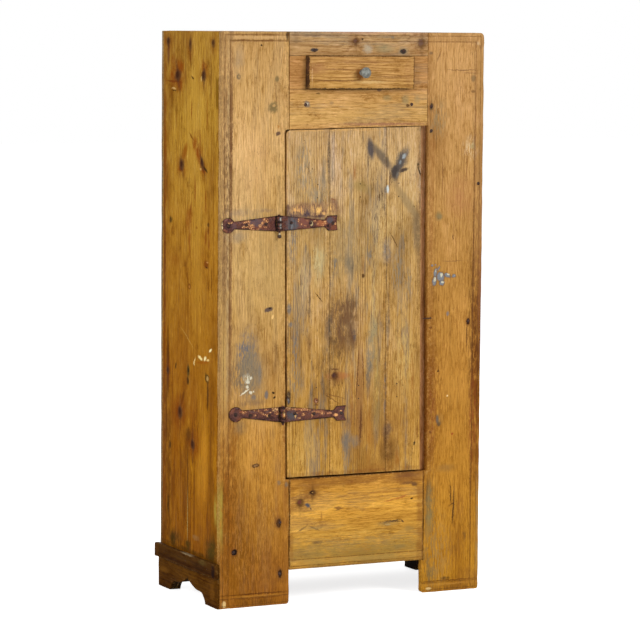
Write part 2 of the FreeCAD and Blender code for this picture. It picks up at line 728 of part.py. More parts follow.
def leaf(label, hinge, side):
    """One leaf of a hinge, about the pin's line. The frame's leaf holds the two end barrels and runs to the
    left; the door's leaf holds the middle barrel and runs to the right."""
    body = new_body(label)
    reach = f"{hinge}_{side}_leaf_reach"
    rise = f"{hinge}_{side}_leaf_rise"
    frame_side = side == "frame"
    out = "-" if frame_side else ""
    half_knuckle = "knuckle_height / 2"
    third = f"{BARREL_THIRD} / 2"

    plate = new_sketch(body, "XZ_Plane", f"{label}_plate")
    neck = f"{side}_leaf_neck / 2"
    if frame_side:
        neck_end = f"{reach} - bulb_diameter / 2 - bulb_shoulder"
        far_end = [(f"{reach} - bulb_diameter / 2", f"{rise} - {neck}"),
                   (f"{reach} - bulb_diameter / 2", f"{rise} + {neck}")]
    else:
        neck_end = f"{reach} - flare_length - flare_height / 4"
        far_end = [(f"{reach} - flare_length", f"{rise} - flare_height / 2"),
                   (reach, f"{rise} - flare_height / 2"),
                   (reach, f"{rise} + flare_height / 2"),
                   (f"{reach} - flare_length", f"{rise} + flare_height / 2")]
    if frame_side:
        near_low = [("0", f"-{half_knuckle}")]
        near_high = [("0", half_knuckle),
                     ("0", f"{third} + barrel_end_gap"),
                     (CLEAR_OF_BARREL, f"{third} + barrel_end_gap"),
                     (CLEAR_OF_BARREL, f"-{third} - barrel_end_gap"),
                     ("0", f"-{third} - barrel_end_gap")]
    else:
        near_low = [(CLEAR_OF_BARREL, f"-{half_knuckle}")]
        near_high = [(CLEAR_OF_BARREL, half_knuckle),
                     (CLEAR_OF_BARREL, third),
                     ("0", third),
                     ("0", f"-{third}"),
                     (CLEAR_OF_BARREL, f"-{third}")]
    low_neck = (neck_end, f"{rise} - {neck}")
    high_neck = (neck_end, f"{rise} + {neck}")
    corners = near_low + [low_neck] + far_end + [high_neck] + near_high
    outline(plate, [(f"{out}({along_leaf})", height) for along_leaf, height in corners])
    plate.setExpression(".AttachmentOffset.Base.z", bound(f"-{LEAF_FRONT}"))
    pad(body, plate, "leaf_thickness", reversed_side=True)

    if frame_side:
        bulb = new_sketch(body, "XZ_Plane", f"{label}_bulb")
        circle(bulb, f"-({reach} - bulb_diameter / 2)", rise, "bulb_diameter / 2")
        bulb.setExpression(".AttachmentOffset.Base.z", bound(f"-{LEAF_FRONT}"))
        pad(body, bulb, "leaf_thickness", reversed_side=True)
        spans = [(f"-{half_knuckle}", f"{BARREL_THIRD} - barrel_end_gap", False),
                 (half_knuckle, f"{BARREL_THIRD} - barrel_end_gap", True)]
    else:
        spans = [(f"-{third}", BARREL_THIRD, False)]
    for number_in_row, (end, length, downwards) in enumerate(spans, start=1):
        barrel = new_sketch(body, "XY_Plane", f"{label}_barrel_{number_in_row}")
        circle(barrel, "0", "0", BARREL_RADIUS)
        barrel.setExpression(".AttachmentOffset.Base.z", bound(end))
        pad(body, barrel, length, downwards, refine=False)

    bore = new_sketch(body, "XY_Plane", f"{label}_bore")
    circle(bore, "0", "0", BORE_RADIUS)
    bore.setExpression(".AttachmentOffset.Base.z", bound(half_knuckle))
    cut(body, bore, "knuckle_height", refine=False)

    if not frame_side:
        # the back is hammered hollow where the leaf passes over the stile, so that it never rubs there
        relief = new_sketch(body, "XZ_Plane", f"{label}_relief")
        relief_end = f"{hinge}_hinge_inset"
        outline(relief, [
            ("0", f"-{half_knuckle} - leaf_thickness"),
            (relief_end, f"-{half_knuckle} - leaf_thickness"),
            (relief_end, f"{half_knuckle} + leaf_thickness"),
            ("0", f"{half_knuckle} + leaf_thickness"),
        ])
        relief.setExpression(".AttachmentOffset.Base.z", bound(f"-{LEAF_BACK}"))
        cut(body, relief, "leaf_relief", reversed_side=True, refine=False)

    holes = new_sketch(body, "XZ_Plane", f"{label}_nail_holes")
    for along_leaf, height in nail_spots(hinge, side):
        circle(holes, f"{out}({along_leaf})", height, "nail_shank_diameter / 2 + pin_gap")
    holes.setExpression(".AttachmentOffset.Base.z", bound(f"-{LEAF_FRONT}"))
    cut(body, holes, "leaf_thickness", refine=False)
    place_on_hinge(body, hinge)
    return body


def nail_spots(hinge, side):
    """Where the three nails of a leaf stand: distance from the pin's line, and height."""
    reach = f"{hinge}_{side}_leaf_reach"
    rise = f"{hinge}_{side}_leaf_rise"
    last = "bulb_diameter / 2" if side == "frame" else "flare_length / 2"
    return [
        (f"{reach} - {last}", rise),
        ("middle_leaf_nail", f"{rise} / 2"),
        ("near_leaf_nail", "0"),
    ]


def hinge_pin(label, hinge, finial):
    """The loose pin with its small head; one of the two still has the ball at its lower end."""
    body = new_body(label)
    sketch = new_sketch(body, "XZ_Plane", f"{label}_profile")
    radius = "pin_diameter / 2"
    tail = "-knuckle_height / 2 - pin_tail"
    head = "knuckle_height / 2"
    if finial:
        ball = "finial_diameter / 2"
        lower_end = [("0", f"{tail} - finial_diameter", ball, 1),
                     (ball, f"{tail} - {ball}", ball, 1),
                     ("pin_tip_diameter / 2", tail),
                     (radius, f"{tail} + pin_tail / 2")]
    else:
        lower_end = [("0", tail), ("pin_tip_diameter / 2", tail), (radius, f"{tail} + {radius} / 2")]
    outline(sketch, lower_end + [
        (radius, head),
        ("pin_head_diameter / 2", head),
        (radius, f"{head} + {radius}"),
        ("0", f"{head} + {radius}"),
    ])
    feature = body.newObject("PartDesign::Revolution", f"{label}_turning")
    feature.Profile = sketch
    feature.ReferenceAxis = (sketch, ["V_Axis"])
    feature.Angle = 360
    place_on_hinge(body, hinge)
    return body


for hinge in ("upper", "lower"):
    leaf(f"{hinge}_hinge_frame_leaf", hinge, "frame")
    leaf(f"{hinge}_hinge_door_leaf", hinge, "door")
    hinge_pin(f"{hinge}_hinge_pin", hinge, finial=hinge == "upper")

# ---------------------------------------------------------------- nails and the bent nail

TOWARDS_BACK = FreeCAD.Rotation(Vector(1, 0, 0), -90)
TOWARDS_FRONT = FreeCAD.Rotation(Vector(1, 0, 0), 90)
TOWARDS_RIGHT = FreeCAD.Rotation(Vector(0, 1, 0), 90)
TOWARDS_LEFT = FreeCAD.Rotation(Vector(0, 1, 0), -90)


def nail(name, x, y, z, direction, length, head="nail_head_diameter"):
    """One nail whose head lies on the point (x, y, z) and whose shank runs in the given direction."""
    shank = doc.addObject("Part::Cylinder", f"{name}_shank")
    shank.setExpression("Radius", bound("nail_shank_diameter / 2"))
    shank.setExpression("Height", bound(length))
    top = doc.addObject("Part::Cone", f"{name}_head")
    top.setExpression("Radius1", bound(f"{head} / 4"))
    top.setExpression("Radius2", bound(f"{head} / 2"))
    top.setExpression("Height", bound("nail_head_height"))
    top.setExpression(".Placement.Base.z", bound("-nail_head_height"))
    whole = doc.addObject("Part::Fuse", name)
    whole.Base = shank
    whole.Tool = top
    place(whole, x, y, z)
    whole.Placement.Rotation = direction
    return whole


def nail_group(label, nails):
    """Nails of one kind in one node, each a solid of its own."""
    group = doc.addObject("Part::Compound", label)
    group.Label = label
    group.Links = nails
    return group


def nail_row(label, spots, direction, length, head="batten_nail_head"):
    return [nail(f"{label}_{index}", x, y, z, direction, length, head)
            for index, (x, y, z) in enumerate(spots, start=1)]


NAIL_SUNK = "(nail_head_height - small_nail_proud)"


RAIL_NAIL = f"({DRAWER_TOP} + nail_edge)"
RUNNER_NAIL = f"({DRAWER_SILL} - runner_depth + nail_edge)"
LEFT_RUNNER_MIDDLE = f"({LEFT_GUIDE} - runner_lip_width + runner_width / 2)"
RIGHT_RUNNER_MIDDLE = f"({RIGHT_GUIDE} + runner_lip_width - runner_width / 2)"
STOP_NAIL_LINE = f"({STOP_LEFT} + {STOP_WIDTH} - stop_nail_inset)"
long_nails = nail_row("frame_nail", [
    (LEFT_KICKER_MIDDLE, FRONT, RAIL_NAIL),
    (RIGHT_KICKER_MIDDLE, FRONT, RAIL_NAIL),
    (LEFT_RUNNER_MIDDLE, FRONT, RUNNER_NAIL),
    (RIGHT_RUNNER_MIDDLE, FRONT, RUNNER_NAIL),
    (STOP_NAIL_LINE, FRONT, f"{RAIL_BOTTOM_RIGHT} + stop_nail_rise"),
    (STOP_NAIL_LINE, FRONT, f"{RAIL_BOTTOM_RIGHT} - nail_edge"),
    (f"{OUTER} - nail_edge", FRONT, f"{RAIL_BOTTOM_LEFT} - side_nail_drop"),
    (f"{left_edge('panel_bottom')} - apron_nail_inset", FRONT, "panel_top - apron_nail_drop"),
], TOWARDS_BACK, "nail_length", "nail_head_diameter")
short_nails = nail_row("frame_short_nail", [
    (f"{left_edge('panel_bottom')} - apron_nail_inset", FRONT, "panel_bottom - foot_nail_drop"),
    (f"-{OUTER} + outer_nail_inset", FRONT, "panel_bottom + left_outer_nail_rise"),
    (f"{OUTER} - outer_nail_inset", FRONT, f"{LOWER_SHELF_LEVEL} + shelf_thickness + right_outer_nail_rise"),
], TOWARDS_BACK, "short_nail_length", "nail_head_diameter")
nail_group("frame_nails", long_nails + short_nails)

SIDE_NAIL_LEVEL = "(facing_height + batten_height / 2)"
SIDE_NAIL_FACE = f"({OUTER} + batten_thickness - {NAIL_SUNK})"
SIDE_NAIL_OFFSETS = ("-base_nail_spacing", "0", "base_nail_spacing")
nail_group("base_nails", nail_row("left_base_nail", [
    (f"-{SIDE_NAIL_FACE}", f"{ARCH_MIDDLE} + {offset}", SIDE_NAIL_LEVEL)
    for offset in SIDE_NAIL_OFFSETS
], TOWARDS_RIGHT, "base_nail_length") + nail_row("right_base_nail", [
    (SIDE_NAIL_FACE, f"{ARCH_MIDDLE} + {offset}", SIDE_NAIL_LEVEL)
    for offset in SIDE_NAIL_OFFSETS
], TOWARDS_LEFT, "base_nail_length"))

BACK_NAIL_LEVELS = [
    f"({level} + shelf_thickness / 2)"
    for level in (FLOOR_BOTTOM, LOWER_SHELF_LEVEL, UPPER_SHELF_LEVEL, "carcass_height - frame_thickness")
]
BACK_NAIL_LINES = BACK_PLANK_MIDDLES + [f"(-{OUTER} + side_thickness / 2)", f"({OUTER} - side_thickness / 2)"]
nail_group("back_nails", nail_row("back_nail", [
    (line, f"{BACK} - {NAIL_SUNK}", level) for line in BACK_NAIL_LINES for level in BACK_NAIL_LEVELS
], TOWARDS_FRONT, "back_nail_length"))

BATTEN_NAIL_LINES = (
    f"({BATTEN_LEFT} + door_nail_inset)",
    f"(({DOOR_LEFT_SILL} + left_plank_width + {DOOR_RIGHT_SILL} - right_plank_width) / 2)",
    f"({BATTEN_RIGHT} - door_nail_inset / 2)",
)
nail_group("batten_nails", nail_row("batten_nail", [
    (x, f"{FRONT} + {NAIL_SUNK}", f"{level} {offset}")
    for x in BATTEN_NAIL_LINES
    for level in BATTEN_LEVELS.values()
    for offset in ("- door_batten_height / 4", "+ door_batten_height / 4")
], TOWARDS_BACK, "batten_nail_length"))


def leaf_nails(label, side):
    """The nails through the two leaves on one side, set where the leaves' holes are."""
    nails = []
    out = "-" if side == "frame" else ""
    for hinge in ("upper", "lower"):
        for index, (along_leaf, height) in enumerate(nail_spots(hinge, side), start=1):
            reach = f"({out}({along_leaf}))"
            x = f"{HINGE_X[hinge]} + {reach} * cos({HINGE_LEAN}) - ({height}) * sin({HINGE_LEAN})"
            z = f"{HINGE_LEVEL[hinge]} + {reach} * sin({HINGE_LEAN}) + ({height}) * cos({HINGE_LEAN})"
            nails.append(nail(f"{label}_{hinge}_{index}", x, f"{FRONT} - leaf_thickness", z,
                              TOWARDS_BACK, "short_nail_length"))
    return nail_group(label, nails)


leaf_nails("frame_leaf_nails", "frame")
leaf_nails("door_leaf_nails", "door")

# A nail in the right stile, bent over towards the door: a stub of wire with one quarter turn.
bent_nail = new_body("bent_nail")
WIRE = "(catch_wire_diameter / 2)"
ENTRY = f"({NOTCH_RIGHT_SILL} + catch_offset)"
path = new_sketch(bent_nail, "XY_Plane", "bent_nail_path")
bend = "(catch_wire_diameter * 1.5)"
corners = [("0", "0"), ("0", "-frame_thickness / 2 - catch_stand + " + bend),
           (f"-{bend}", "-frame_thickness / 2 - catch_stand"),
           ("-catch_reach", "-frame_thickness / 2 - catch_stand")]
points = [Vector(number(x), number(y), 0) for x, y in corners]
path.addGeometry(Part.LineSegment(points[0], points[1]), False)
turn, turn_reversed = arc_between(points[1], points[2], number(bend), -1)
path.addGeometry(turn, False)
path.addGeometry(Part.LineSegment(points[2], points[3]), False)
path.addConstraint(Sketcher.Constraint("Coincident", 0, 2, 1, 2))
path.addConstraint(Sketcher.Constraint("Coincident", 1, 1, 2, 1))
for (geometry, point), corner in zip(((0, 1), (0, 2), (2, 1), (2, 2)), corners):
    hold(path, "DistanceX", geometry, point, corner[0])
    hold(path, "DistanceY", geometry, point, corner[1])
index = path.addConstraint(Sketcher.Constraint("Radius", 1, number(bend)))
path.setExpression(f"Constraints[{index}]", bound(bend))
section = new_sketch(bent_nail, "XZ_Plane", "bent_nail_section")
circle(section, "0", "0", WIRE)
sweep = bent_nail.newObject("PartDesign::AdditivePipe", "bent_nail_sweep")
sweep.Profile = section
sweep.Spine = (path, ["Edge1", "Edge2", "Edge3"])
place(bent_nail, ENTRY, f"{FRONT} + frame_thickness / 2", f"{DOOR_SILL} + catch_rise")

# ---------------------------------------------------------------- check and write

doc.recompute()
for item in doc.Objects:
    if {"Invalid", "Error"} & set(item.State):
        raise RuntimeError(f"{item.Label} did not build: {item.State}")

SUBPART_TYPES = ("PartDesign::Body", "Part::Box", "Part::Compound")
subparts = [item for item in doc.Objects if item.TypeId in SUBPART_TYPES]
for item in subparts:
    if item.Shape.isNull() or not item.Shape.isValid() or not item.Shape.Solids:
        raise RuntimeError(f"{item.Label} has no sound solid")

os.makedirs("parts", exist_ok=True)
for item in subparts:
    item.Shape.exportStep(f"parts/{item.Label}.step")
print(f"{len(subparts)} sub-parts written")
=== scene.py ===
import math

import bmesh
import bpy
from mathutils import Matrix, Vector, noise


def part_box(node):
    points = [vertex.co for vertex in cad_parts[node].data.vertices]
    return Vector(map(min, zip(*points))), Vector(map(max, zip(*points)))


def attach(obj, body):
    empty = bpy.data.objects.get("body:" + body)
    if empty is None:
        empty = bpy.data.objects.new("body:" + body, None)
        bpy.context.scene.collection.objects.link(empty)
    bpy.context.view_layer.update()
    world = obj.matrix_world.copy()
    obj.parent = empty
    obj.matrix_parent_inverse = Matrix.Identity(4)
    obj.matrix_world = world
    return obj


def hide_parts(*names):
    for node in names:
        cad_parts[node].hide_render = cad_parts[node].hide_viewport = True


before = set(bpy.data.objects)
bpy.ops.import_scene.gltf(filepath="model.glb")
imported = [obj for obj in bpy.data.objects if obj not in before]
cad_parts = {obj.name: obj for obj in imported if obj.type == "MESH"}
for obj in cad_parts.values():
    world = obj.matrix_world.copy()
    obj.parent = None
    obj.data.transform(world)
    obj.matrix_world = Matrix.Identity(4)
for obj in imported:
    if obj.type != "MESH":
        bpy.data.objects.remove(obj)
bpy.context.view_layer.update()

# The looks of a country jelly cupboard in old pine. Marks are placed in millimetres, in the frame of
# the imported part: on the front as (x, z), and on the sides as (from the middle towards the front, z).

MM = 0.001

FRONT_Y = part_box("left_stile")[0].y
SIDE_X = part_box("left_side_board")[0].x
TOP_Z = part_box("left_stile")[1].z


# ---------------------------------------------------------------- writing materials

def rgb(red, green, blue):
    """A colour as it should render, 0 to 255, turned into Blender's linear values."""
    def linear(value):
        value /= 255
        return value / 12.92 if value <= 0.04045 else ((value + 0.055) / 1.055) ** 2.4
    return (linear(red), linear(green), linear(blue), 1)


class Shader:
    """A material, or the world, and a short way to write its nodes."""

    def __init__(self, name, kind="materials"):
        self.owner = getattr(bpy.data, kind).new(name)
        self.owner.use_nodes = True
        self.tree = self.owner.node_tree
        self.tree.nodes.clear()
        self.place = self.add("TexCoord", out="Object")

    def add(self, kind, inputs=None, out=0, **properties):
        node = self.tree.nodes.new(f"ShaderNode{kind}")
        for key, value in properties.items():
            setattr(node, key, value)
        for key, value in (inputs or {}).items():
            if isinstance(value, bpy.types.NodeSocket):
                self.tree.links.new(value, node.inputs[key])
            else:
                node.inputs[key].default_value = value
        return node.outputs[out]

    def math(self, operation, first, second=0.0):
        return self.add("Math", {0: first, 1: second}, operation=operation)

    def times(self, first, second):
        return self.math("MULTIPLY", first, second)

    def plus(self, first, second):
        return self.math("ADD", first, second)

    def vector(self, operation, first, second=(0, 0, 0)):
        return self.add("VectorMath", {0: first, 1: second}, operation=operation)

    def moved(self, place, shift):
        return self.vector("ADD", place, shift)

    def stretched(self, place, scales):
        return self.vector("MULTIPLY", place, scales)

    def length(self, place):
        return self.add("VectorMath", {0: place}, out="Value", operation="LENGTH")

    def separated(self, place):
        return self.add("SeparateXYZ", {0: place}).node.outputs[:]

    def joined(self, first, second=0.0, third=0.0):
        return self.add("CombineXYZ", {0: first, 1: second, 2: third})

    def attribute(self, name):
        return self.add("Attribute", out="Fac", attribute_name=name, attribute_type="GEOMETRY")

    def noise(self, place, scale=1.0, detail=2.0, roughness=0.5, out="Fac"):
        settings = {"Vector": place, "Scale": scale, "Detail": detail, "Roughness": roughness}
        return self.add("TexNoise", settings, out)

    def shake(self, noise_colour, reach):
        """A shift of up to half of reach each way, from a noise's colour."""
        return self.stretched(self.vector("SUBTRACT", noise_colour, (0.5, 0.5, 0.5)), reach)

    def span(self, value, low, high, to_low=0.0, to_high=1.0):
        """Smoothly map low..high to to_low..to_high."""
        ends = {"From Min": low, "From Max": high, "To Min": to_low, "To Max": to_high}
        return self.add("MapRange", {"Value": value, **ends}, interpolation_type="SMOOTHSTEP")

    def mix(self, amount, first, second, blend="MIX"):
        """Mix two colours. The numbers are the places of a Mix node's colour sockets."""
        return self.add("Mix", {0: amount, 6: first, 7: second}, out=2, data_type="RGBA", blend_type=blend)

    def tint(self, colour, factors):
        return self.mix(1.0, colour, (*factors, 1), "MULTIPLY")

    def ramp(self, value, stops):
        output = self.add("ValToRGB", {"Fac": value})
        elements = output.node.color_ramp.elements
        while len(elements) < len(stops):
            elements.new(0.5)
        for element, (position, colour) in zip(elements, sorted(stops)):
            element.position = position
            element.color = colour
        return output

    def finish(self, colour, roughness, height, strength=0.4, distance=0.0008, metallic=0.0, gloss=0.12):
        normal = self.add("Bump", {"Height": height, "Strength": strength, "Distance": distance})
        self.show(self.add("BsdfPrincipled", {
            "Base Color": colour, "Roughness": roughness, "Metallic": metallic, "Specular IOR Level": gloss,
            "Normal": normal}))
        return self.owner

    def show(self, shader, kind="OutputMaterial"):
        output = self.tree.nodes.new(f"ShaderNode{kind}")
        self.tree.links.new(shader, output.inputs["Surface"])


# ---------------------------------------------------------------- marks on the wood

FAR = 1e3        # deep enough to reach through any piece
SMALL = 26       # below this width or height, in millimetres, a mark is only lightly shaken
BROKEN = 0.95    # a softer edge than this breaks a mark up
SPECKLED = 1.35  # and a softer one than this turns it into specks
BLACK = (38, 26, 18)
DARK = (78, 48, 24)
BROWN = (122, 74, 30)
GREY = (116, 106, 88)
SLATE = (96, 98, 102)
CREAM = (224, 190, 126)
WHITE = (220, 212, 186)
PURPLE = (104, 76, 66)


class Mark:
    """One mark on a face: an ellipse in millimetres, its colour, how strong it is and how soft its rim."""

    def __init__(self, across, level, width, height, colour, amount=1.0, edge=0.45, turn=0, knot=0.0,
                 square=False):
        self.across, self.level = across, level
        self.width, self.height = width, height
        self.colour, self.amount = colour, amount
        self.edge, self.turn, self.knot, self.square = edge, turn, knot, square


def placed(rows):
    """Marks from rows of across, level, width, height, colour, amount, edge and turn, lowest layer first."""
    return [row if isinstance(row, Mark) else Mark(*row) for row in rows]


def each(make, rows):
    """The marks that a function makes from each of its rows."""
    return [mark for row in rows for mark in make(*row)]


def band(across, level, width, height, colour, amount, edge=1.0):
    """A stain along an edge, with straight sides."""
    return Mark(across, level, width, height, colour, amount, edge, square=True)


def knot(across, level, width, height, depth=0.9, colour=BLACK, turn=0, halo=BROWN):
    """A knot: a dark heart, a reddish ring and grain that bends round it."""
    return [
        Mark(across, level, width * 2.6, height * 3.0, halo, 0.7 * depth, 1.2, turn, knot=0.012),
        Mark(across, level, width * 0.5, height * 3.8, DARK, 0.55 * depth, 1.0, turn),
        Mark(across, level, width * 1.25, height * 1.25, DARK, 0.9 * depth, 0.8, turn),
        Mark(across - width * 0.1, level + height * 0.08, width * 0.6, height * 0.65, colour, 0.95 * depth,
             0.7, turn),
    ]


def eye(across, level, width, height, heart):
    """A small round knot with a dark rim and a paler heart."""
    return [
        Mark(across, level, width * 1.9, height * 2.2, (168, 116, 56), 0.5, 1.2, knot=0.006),
        Mark(across, level, width, height, DARK, 0.9, 0.4),
        Mark(across, level, width * 0.55, height * 0.5, heart, 0.8, 0.6),
    ]


def mark_mask(shader, places, mark, look):
    """1 inside the mark and 0 outside, and how far each point is from its middle."""
    front = look.face == "front"
    across, level = mark.across * MM, mark.level * MM
    half_width, half_height = mark.width * MM / 2, mark.height * MM / 2
    middle = Vector((across, look.at, level) if front else (look.at, across, level))
    half = (half_width, look.through, half_height) if front else (look.through, half_width, half_height)
    place = places[0 if min(mark.width, mark.height) < SMALL else 1]
    if mark.turn:
        turning = {"Vector": place, "Center": middle, "Angle": -math.radians(mark.turn)}
        place = shader.add("VectorRotate", turning, rotation_type="Y_AXIS" if front else "X_AXIS")
    per_half = Vector([1 / size for size in Vector(half)])
    local = shader.add("VectorMath", {0: place, 1: per_half, 2: -middle * per_half}, operation="MULTIPLY_ADD")
    if mark.square:
        x, y, z = shader.separated(shader.vector("ABSOLUTE", local))
        distance = shader.math("MAXIMUM", x if front else y, z)
    else:
        distance = shader.length(local)
    return shader.span(distance, 1 + mark.edge * 0.4, 1 - mark.edge * 0.6, 0.0, mark.amount), distance


def ragged_places(shader):
    """A point's place, a little shaken for small marks and more for large ones, so that rims are uneven."""
    fine = shader.noise(shader.place, 170, 3, 0.65, "Color")
    coarse = shader.noise(shader.place, 48, 2, 0.5, "Color")
    places = []
    for fine_reach, coarse_reach in (((0.007, 0.007, 0.008), (0.003, 0.003, 0.004)),
                                     ((0.013, 0.013, 0.018), (0.010, 0.010, 0.018))):
        shift = shader.moved(shader.shake(fine, fine_reach), shader.shake(coarse, coarse_reach))
        places.append(shader.moved(shader.place, shift))
    return places


# ---------------------------------------------------------------- wood

class Wood:
    """The settings of one kind of wood surface, with those of plain old pine where none are given."""

    # the grain's direction, where the face with the marks lies and how deep the marks reach
    grain, face, at, through = "Z", "front", FRONT_Y, 0.008
    # the growth rings: their seed, width and pith line, their strength and tint
    seed, ring, pith, rings, late = 0.0, 0.0075, (0.03, 0.10), 0.5, (0.42, 0.30, 0.18)
    # darker and paler streaks, mottles and broad tones
    streak, streak_tint, pale_tint = 0.6, (0.58, 0.50, 0.40), (1.24, 1.28, 1.55)
    mottle, mottle_tint, tone = 0.8, (0.60, 0.50, 0.36), 0.6
    # age, and how the surface takes the light
    weather, weather_colour, cracks, dirt, wear = 0.0, (122, 118, 104), 0.35, 0.5, 0.25
    rough, bump, gloss = 0.66, 0.4, 0.08
    marks = ()

    def __init__(self, levels, **settings):
        self.levels = levels
        self.__dict__.update(settings)


# for each direction of the grain, the two axes across it and the one along it
ALONG = {"Z": (0, 1, 2), "X": (2, 1, 0), "Y": (2, 0, 1)}
FIBRE_TINT = (0.62, 0.54, 0.40)
CRACK_BROWN = rgb(74, 46, 22)
DIRT_BROWN = rgb(64, 40, 20)
WORN_DARK = rgb(104, 66, 30)
WORN_PALE = rgb(222, 176, 106)
GROOVE_BROWN = rgb(92, 54, 22)


def wood(name, look):
    shader = Shader(name)
    x, y, z = shader.separated(shader.place)
    axes = [(x, y, z)[index] for index in ALONG[look.grain]]
    board = shader.plus(shader.attribute("board"), look.seed)
    offset = shader.stretched(shader.joined(board, board, board), (1.37, 0.61, 3.1))
    local = shader.moved(shader.joined(*axes), offset)
    mark_places = ragged_places(shader)

    def grain(scales, detail, roughness, out="Fac"):
        return shader.noise(shader.stretched(local, scales), 1, detail, roughness, out)

    # growth rings about a pith line, wavy along the board and bent round the knots
    wave = shader.shake(grain((9, 9, 1.3), 3, 0.5, "Color"), (0.045, 0.045, 0))
    bent = shader.moved(shader.joined(*axes[:2]), wave)
    radius = shader.length(shader.vector("SUBTRACT", bent, (*look.pith, 0)))
    for mark in look.marks:
        if mark.knot:
            _, distance = mark_mask(shader, mark_places, mark, look)
            radius = shader.plus(radius, shader.span(distance, 2.4, 0.2, 0.0, mark.knot))
    uneven = shader.noise(shader.joined(shader.times(radius, 45.0), look.seed), 1, 2)
    phase = shader.plus(shader.math("DIVIDE", radius, look.ring), shader.times(uneven, 3.0))
    fraction = shader.math("FRACT", phase)
    late = shader.times(shader.span(fraction, 0.35, 0.85), shader.span(fraction, 1.0, 0.92))
    late = shader.times(late, shader.span(grain((34, 34, 3), 4, 0.65), 0.32, 0.66, 0.15, 1.0))

    fibre = grain((430, 430, 30), 4, 0.75)
    streak = grain((120, 120, 4.5), 6, 0.74)
    broad = grain((24, 24, 3.2), 6, 0.72)
    mottle = grain((30, 30, 15), 8, 0.78)
    grit = grain((330, 330, 120), 3, 0.6)
    wide = grain((11, 11, 3.5), 6, 0.6)

    colour = shader.ramp(shader.math("DIVIDE", z, TOP_Z), [
        (level * MM / TOP_Z, rgb(*tone)) for level, tone in look.levels])
    for amount, factors in (
            (shader.span(wide, 0.5, 0.68, 0.0, look.tone), look.mottle_tint),
            (shader.span(wide, 0.48, 0.32, 0.0, look.tone), look.pale_tint),
            (shader.times(late, look.rings), look.late),
            (shader.span(streak, 0.5, 0.74, 0.0, look.streak), look.streak_tint),
            (shader.span(streak, 0.48, 0.26, 0.0, look.streak), look.pale_tint),
            (shader.span(fibre, 0.48, 0.64), FIBRE_TINT),
            (shader.span(fibre, 0.46, 0.3), look.pale_tint),
            (shader.span(mottle, 0.52, 0.66, 0.0, look.mottle), look.mottle_tint),
            (shader.span(mottle, 0.46, 0.32, 0.0, look.mottle), look.pale_tint)):
        colour = shader.mix(amount, colour, shader.tint(colour, factors))
    if look.weather:
        grey = shader.times(shader.span(broad, 0.49, 0.6), shader.span(fibre, 0.36, 0.56, 0.25, 1.0))
        colour = shader.mix(shader.times(grey, look.weather), colour, rgb(*look.weather_colour))
    crack = shader.math("ABSOLUTE", shader.math("SUBTRACT", grain((150, 150, 2.0), 3, 0.6), 0.5))
    crack = shader.times(shader.span(crack, 0.014, 0.004), shader.span(broad, 0.47, 0.58))
    colour = shader.mix(shader.times(crack, look.cracks), colour, CRACK_BROWN)

    broken = shader.span(mottle, 0.38, 0.56, 0.2, 1.0)
    speckled = shader.span(grain((260, 260, 46), 5, 0.7), 0.47, 0.54)
    nudge = shader.joined(shader.times(late, 0.001))
    ringed_places = [shader.moved(place, nudge) for place in mark_places]
    for mark in look.marks:
        mask, _ = mark_mask(shader, ringed_places, mark, look)
        if mark.edge > BROKEN:
            mask = shader.times(mask, speckled if mark.edge > SPECKLED else broken)
        colour = shader.mix(mask, colour, rgb(*mark.colour))
    spots = shader.times(shader.span(grit, 0.6, 0.7), shader.span(mottle, 0.42, 0.6))
    colour = shader.mix(shader.times(spots, look.dirt), colour, DIRT_BROWN)

    # worn arrises: paler where handled, darker where dirt gathers, and dirt in the scratched lines
    wear = shader.attribute("wear")
    patch = shader.noise(shader.place, 140, 5, 0.7)
    for where, amount, tone in (
            (wear, shader.span(patch, 0.45, 0.6, 0.0, look.wear), WORN_DARK),
            (wear, shader.span(patch, 0.5, 0.38, 0.0, look.wear), WORN_PALE),
            (shader.attribute("groove"), shader.span(patch, 0.34, 0.6, 0.25, 0.95), GROOVE_BROWN)):
        colour = shader.mix(shader.times(where, amount), colour, tone)

    height = shader.times(late, 0.4)
    for part in (fibre, streak, mottle):
        height = shader.plus(height, shader.times(part, 0.5))
    height = shader.math("SUBTRACT", height, shader.times(crack, look.cracks))
    rough = shader.span(mottle, 0.35, 0.65, look.rough - 0.08, look.rough + 0.12)
    return shader.finish(colour, rough, height, look.bump, gloss=look.gloss)


# ---------------------------------------------------------------- iron

class Iron:
    """The settings of one iron surface. Its marks lie on the front and reach through."""

    face, at, through = "front", FRONT_Y, FAR

    def __init__(self, tones, marks=(), rust=0.75):
        self.tones, self.marks, self.rust = tones, marks, rust


CHIPPED = 1  # a softer edge than this chips a mark and gives it a rusty rim
SCUFFED = 0.8  # and otherwise one softer than this scuffs it


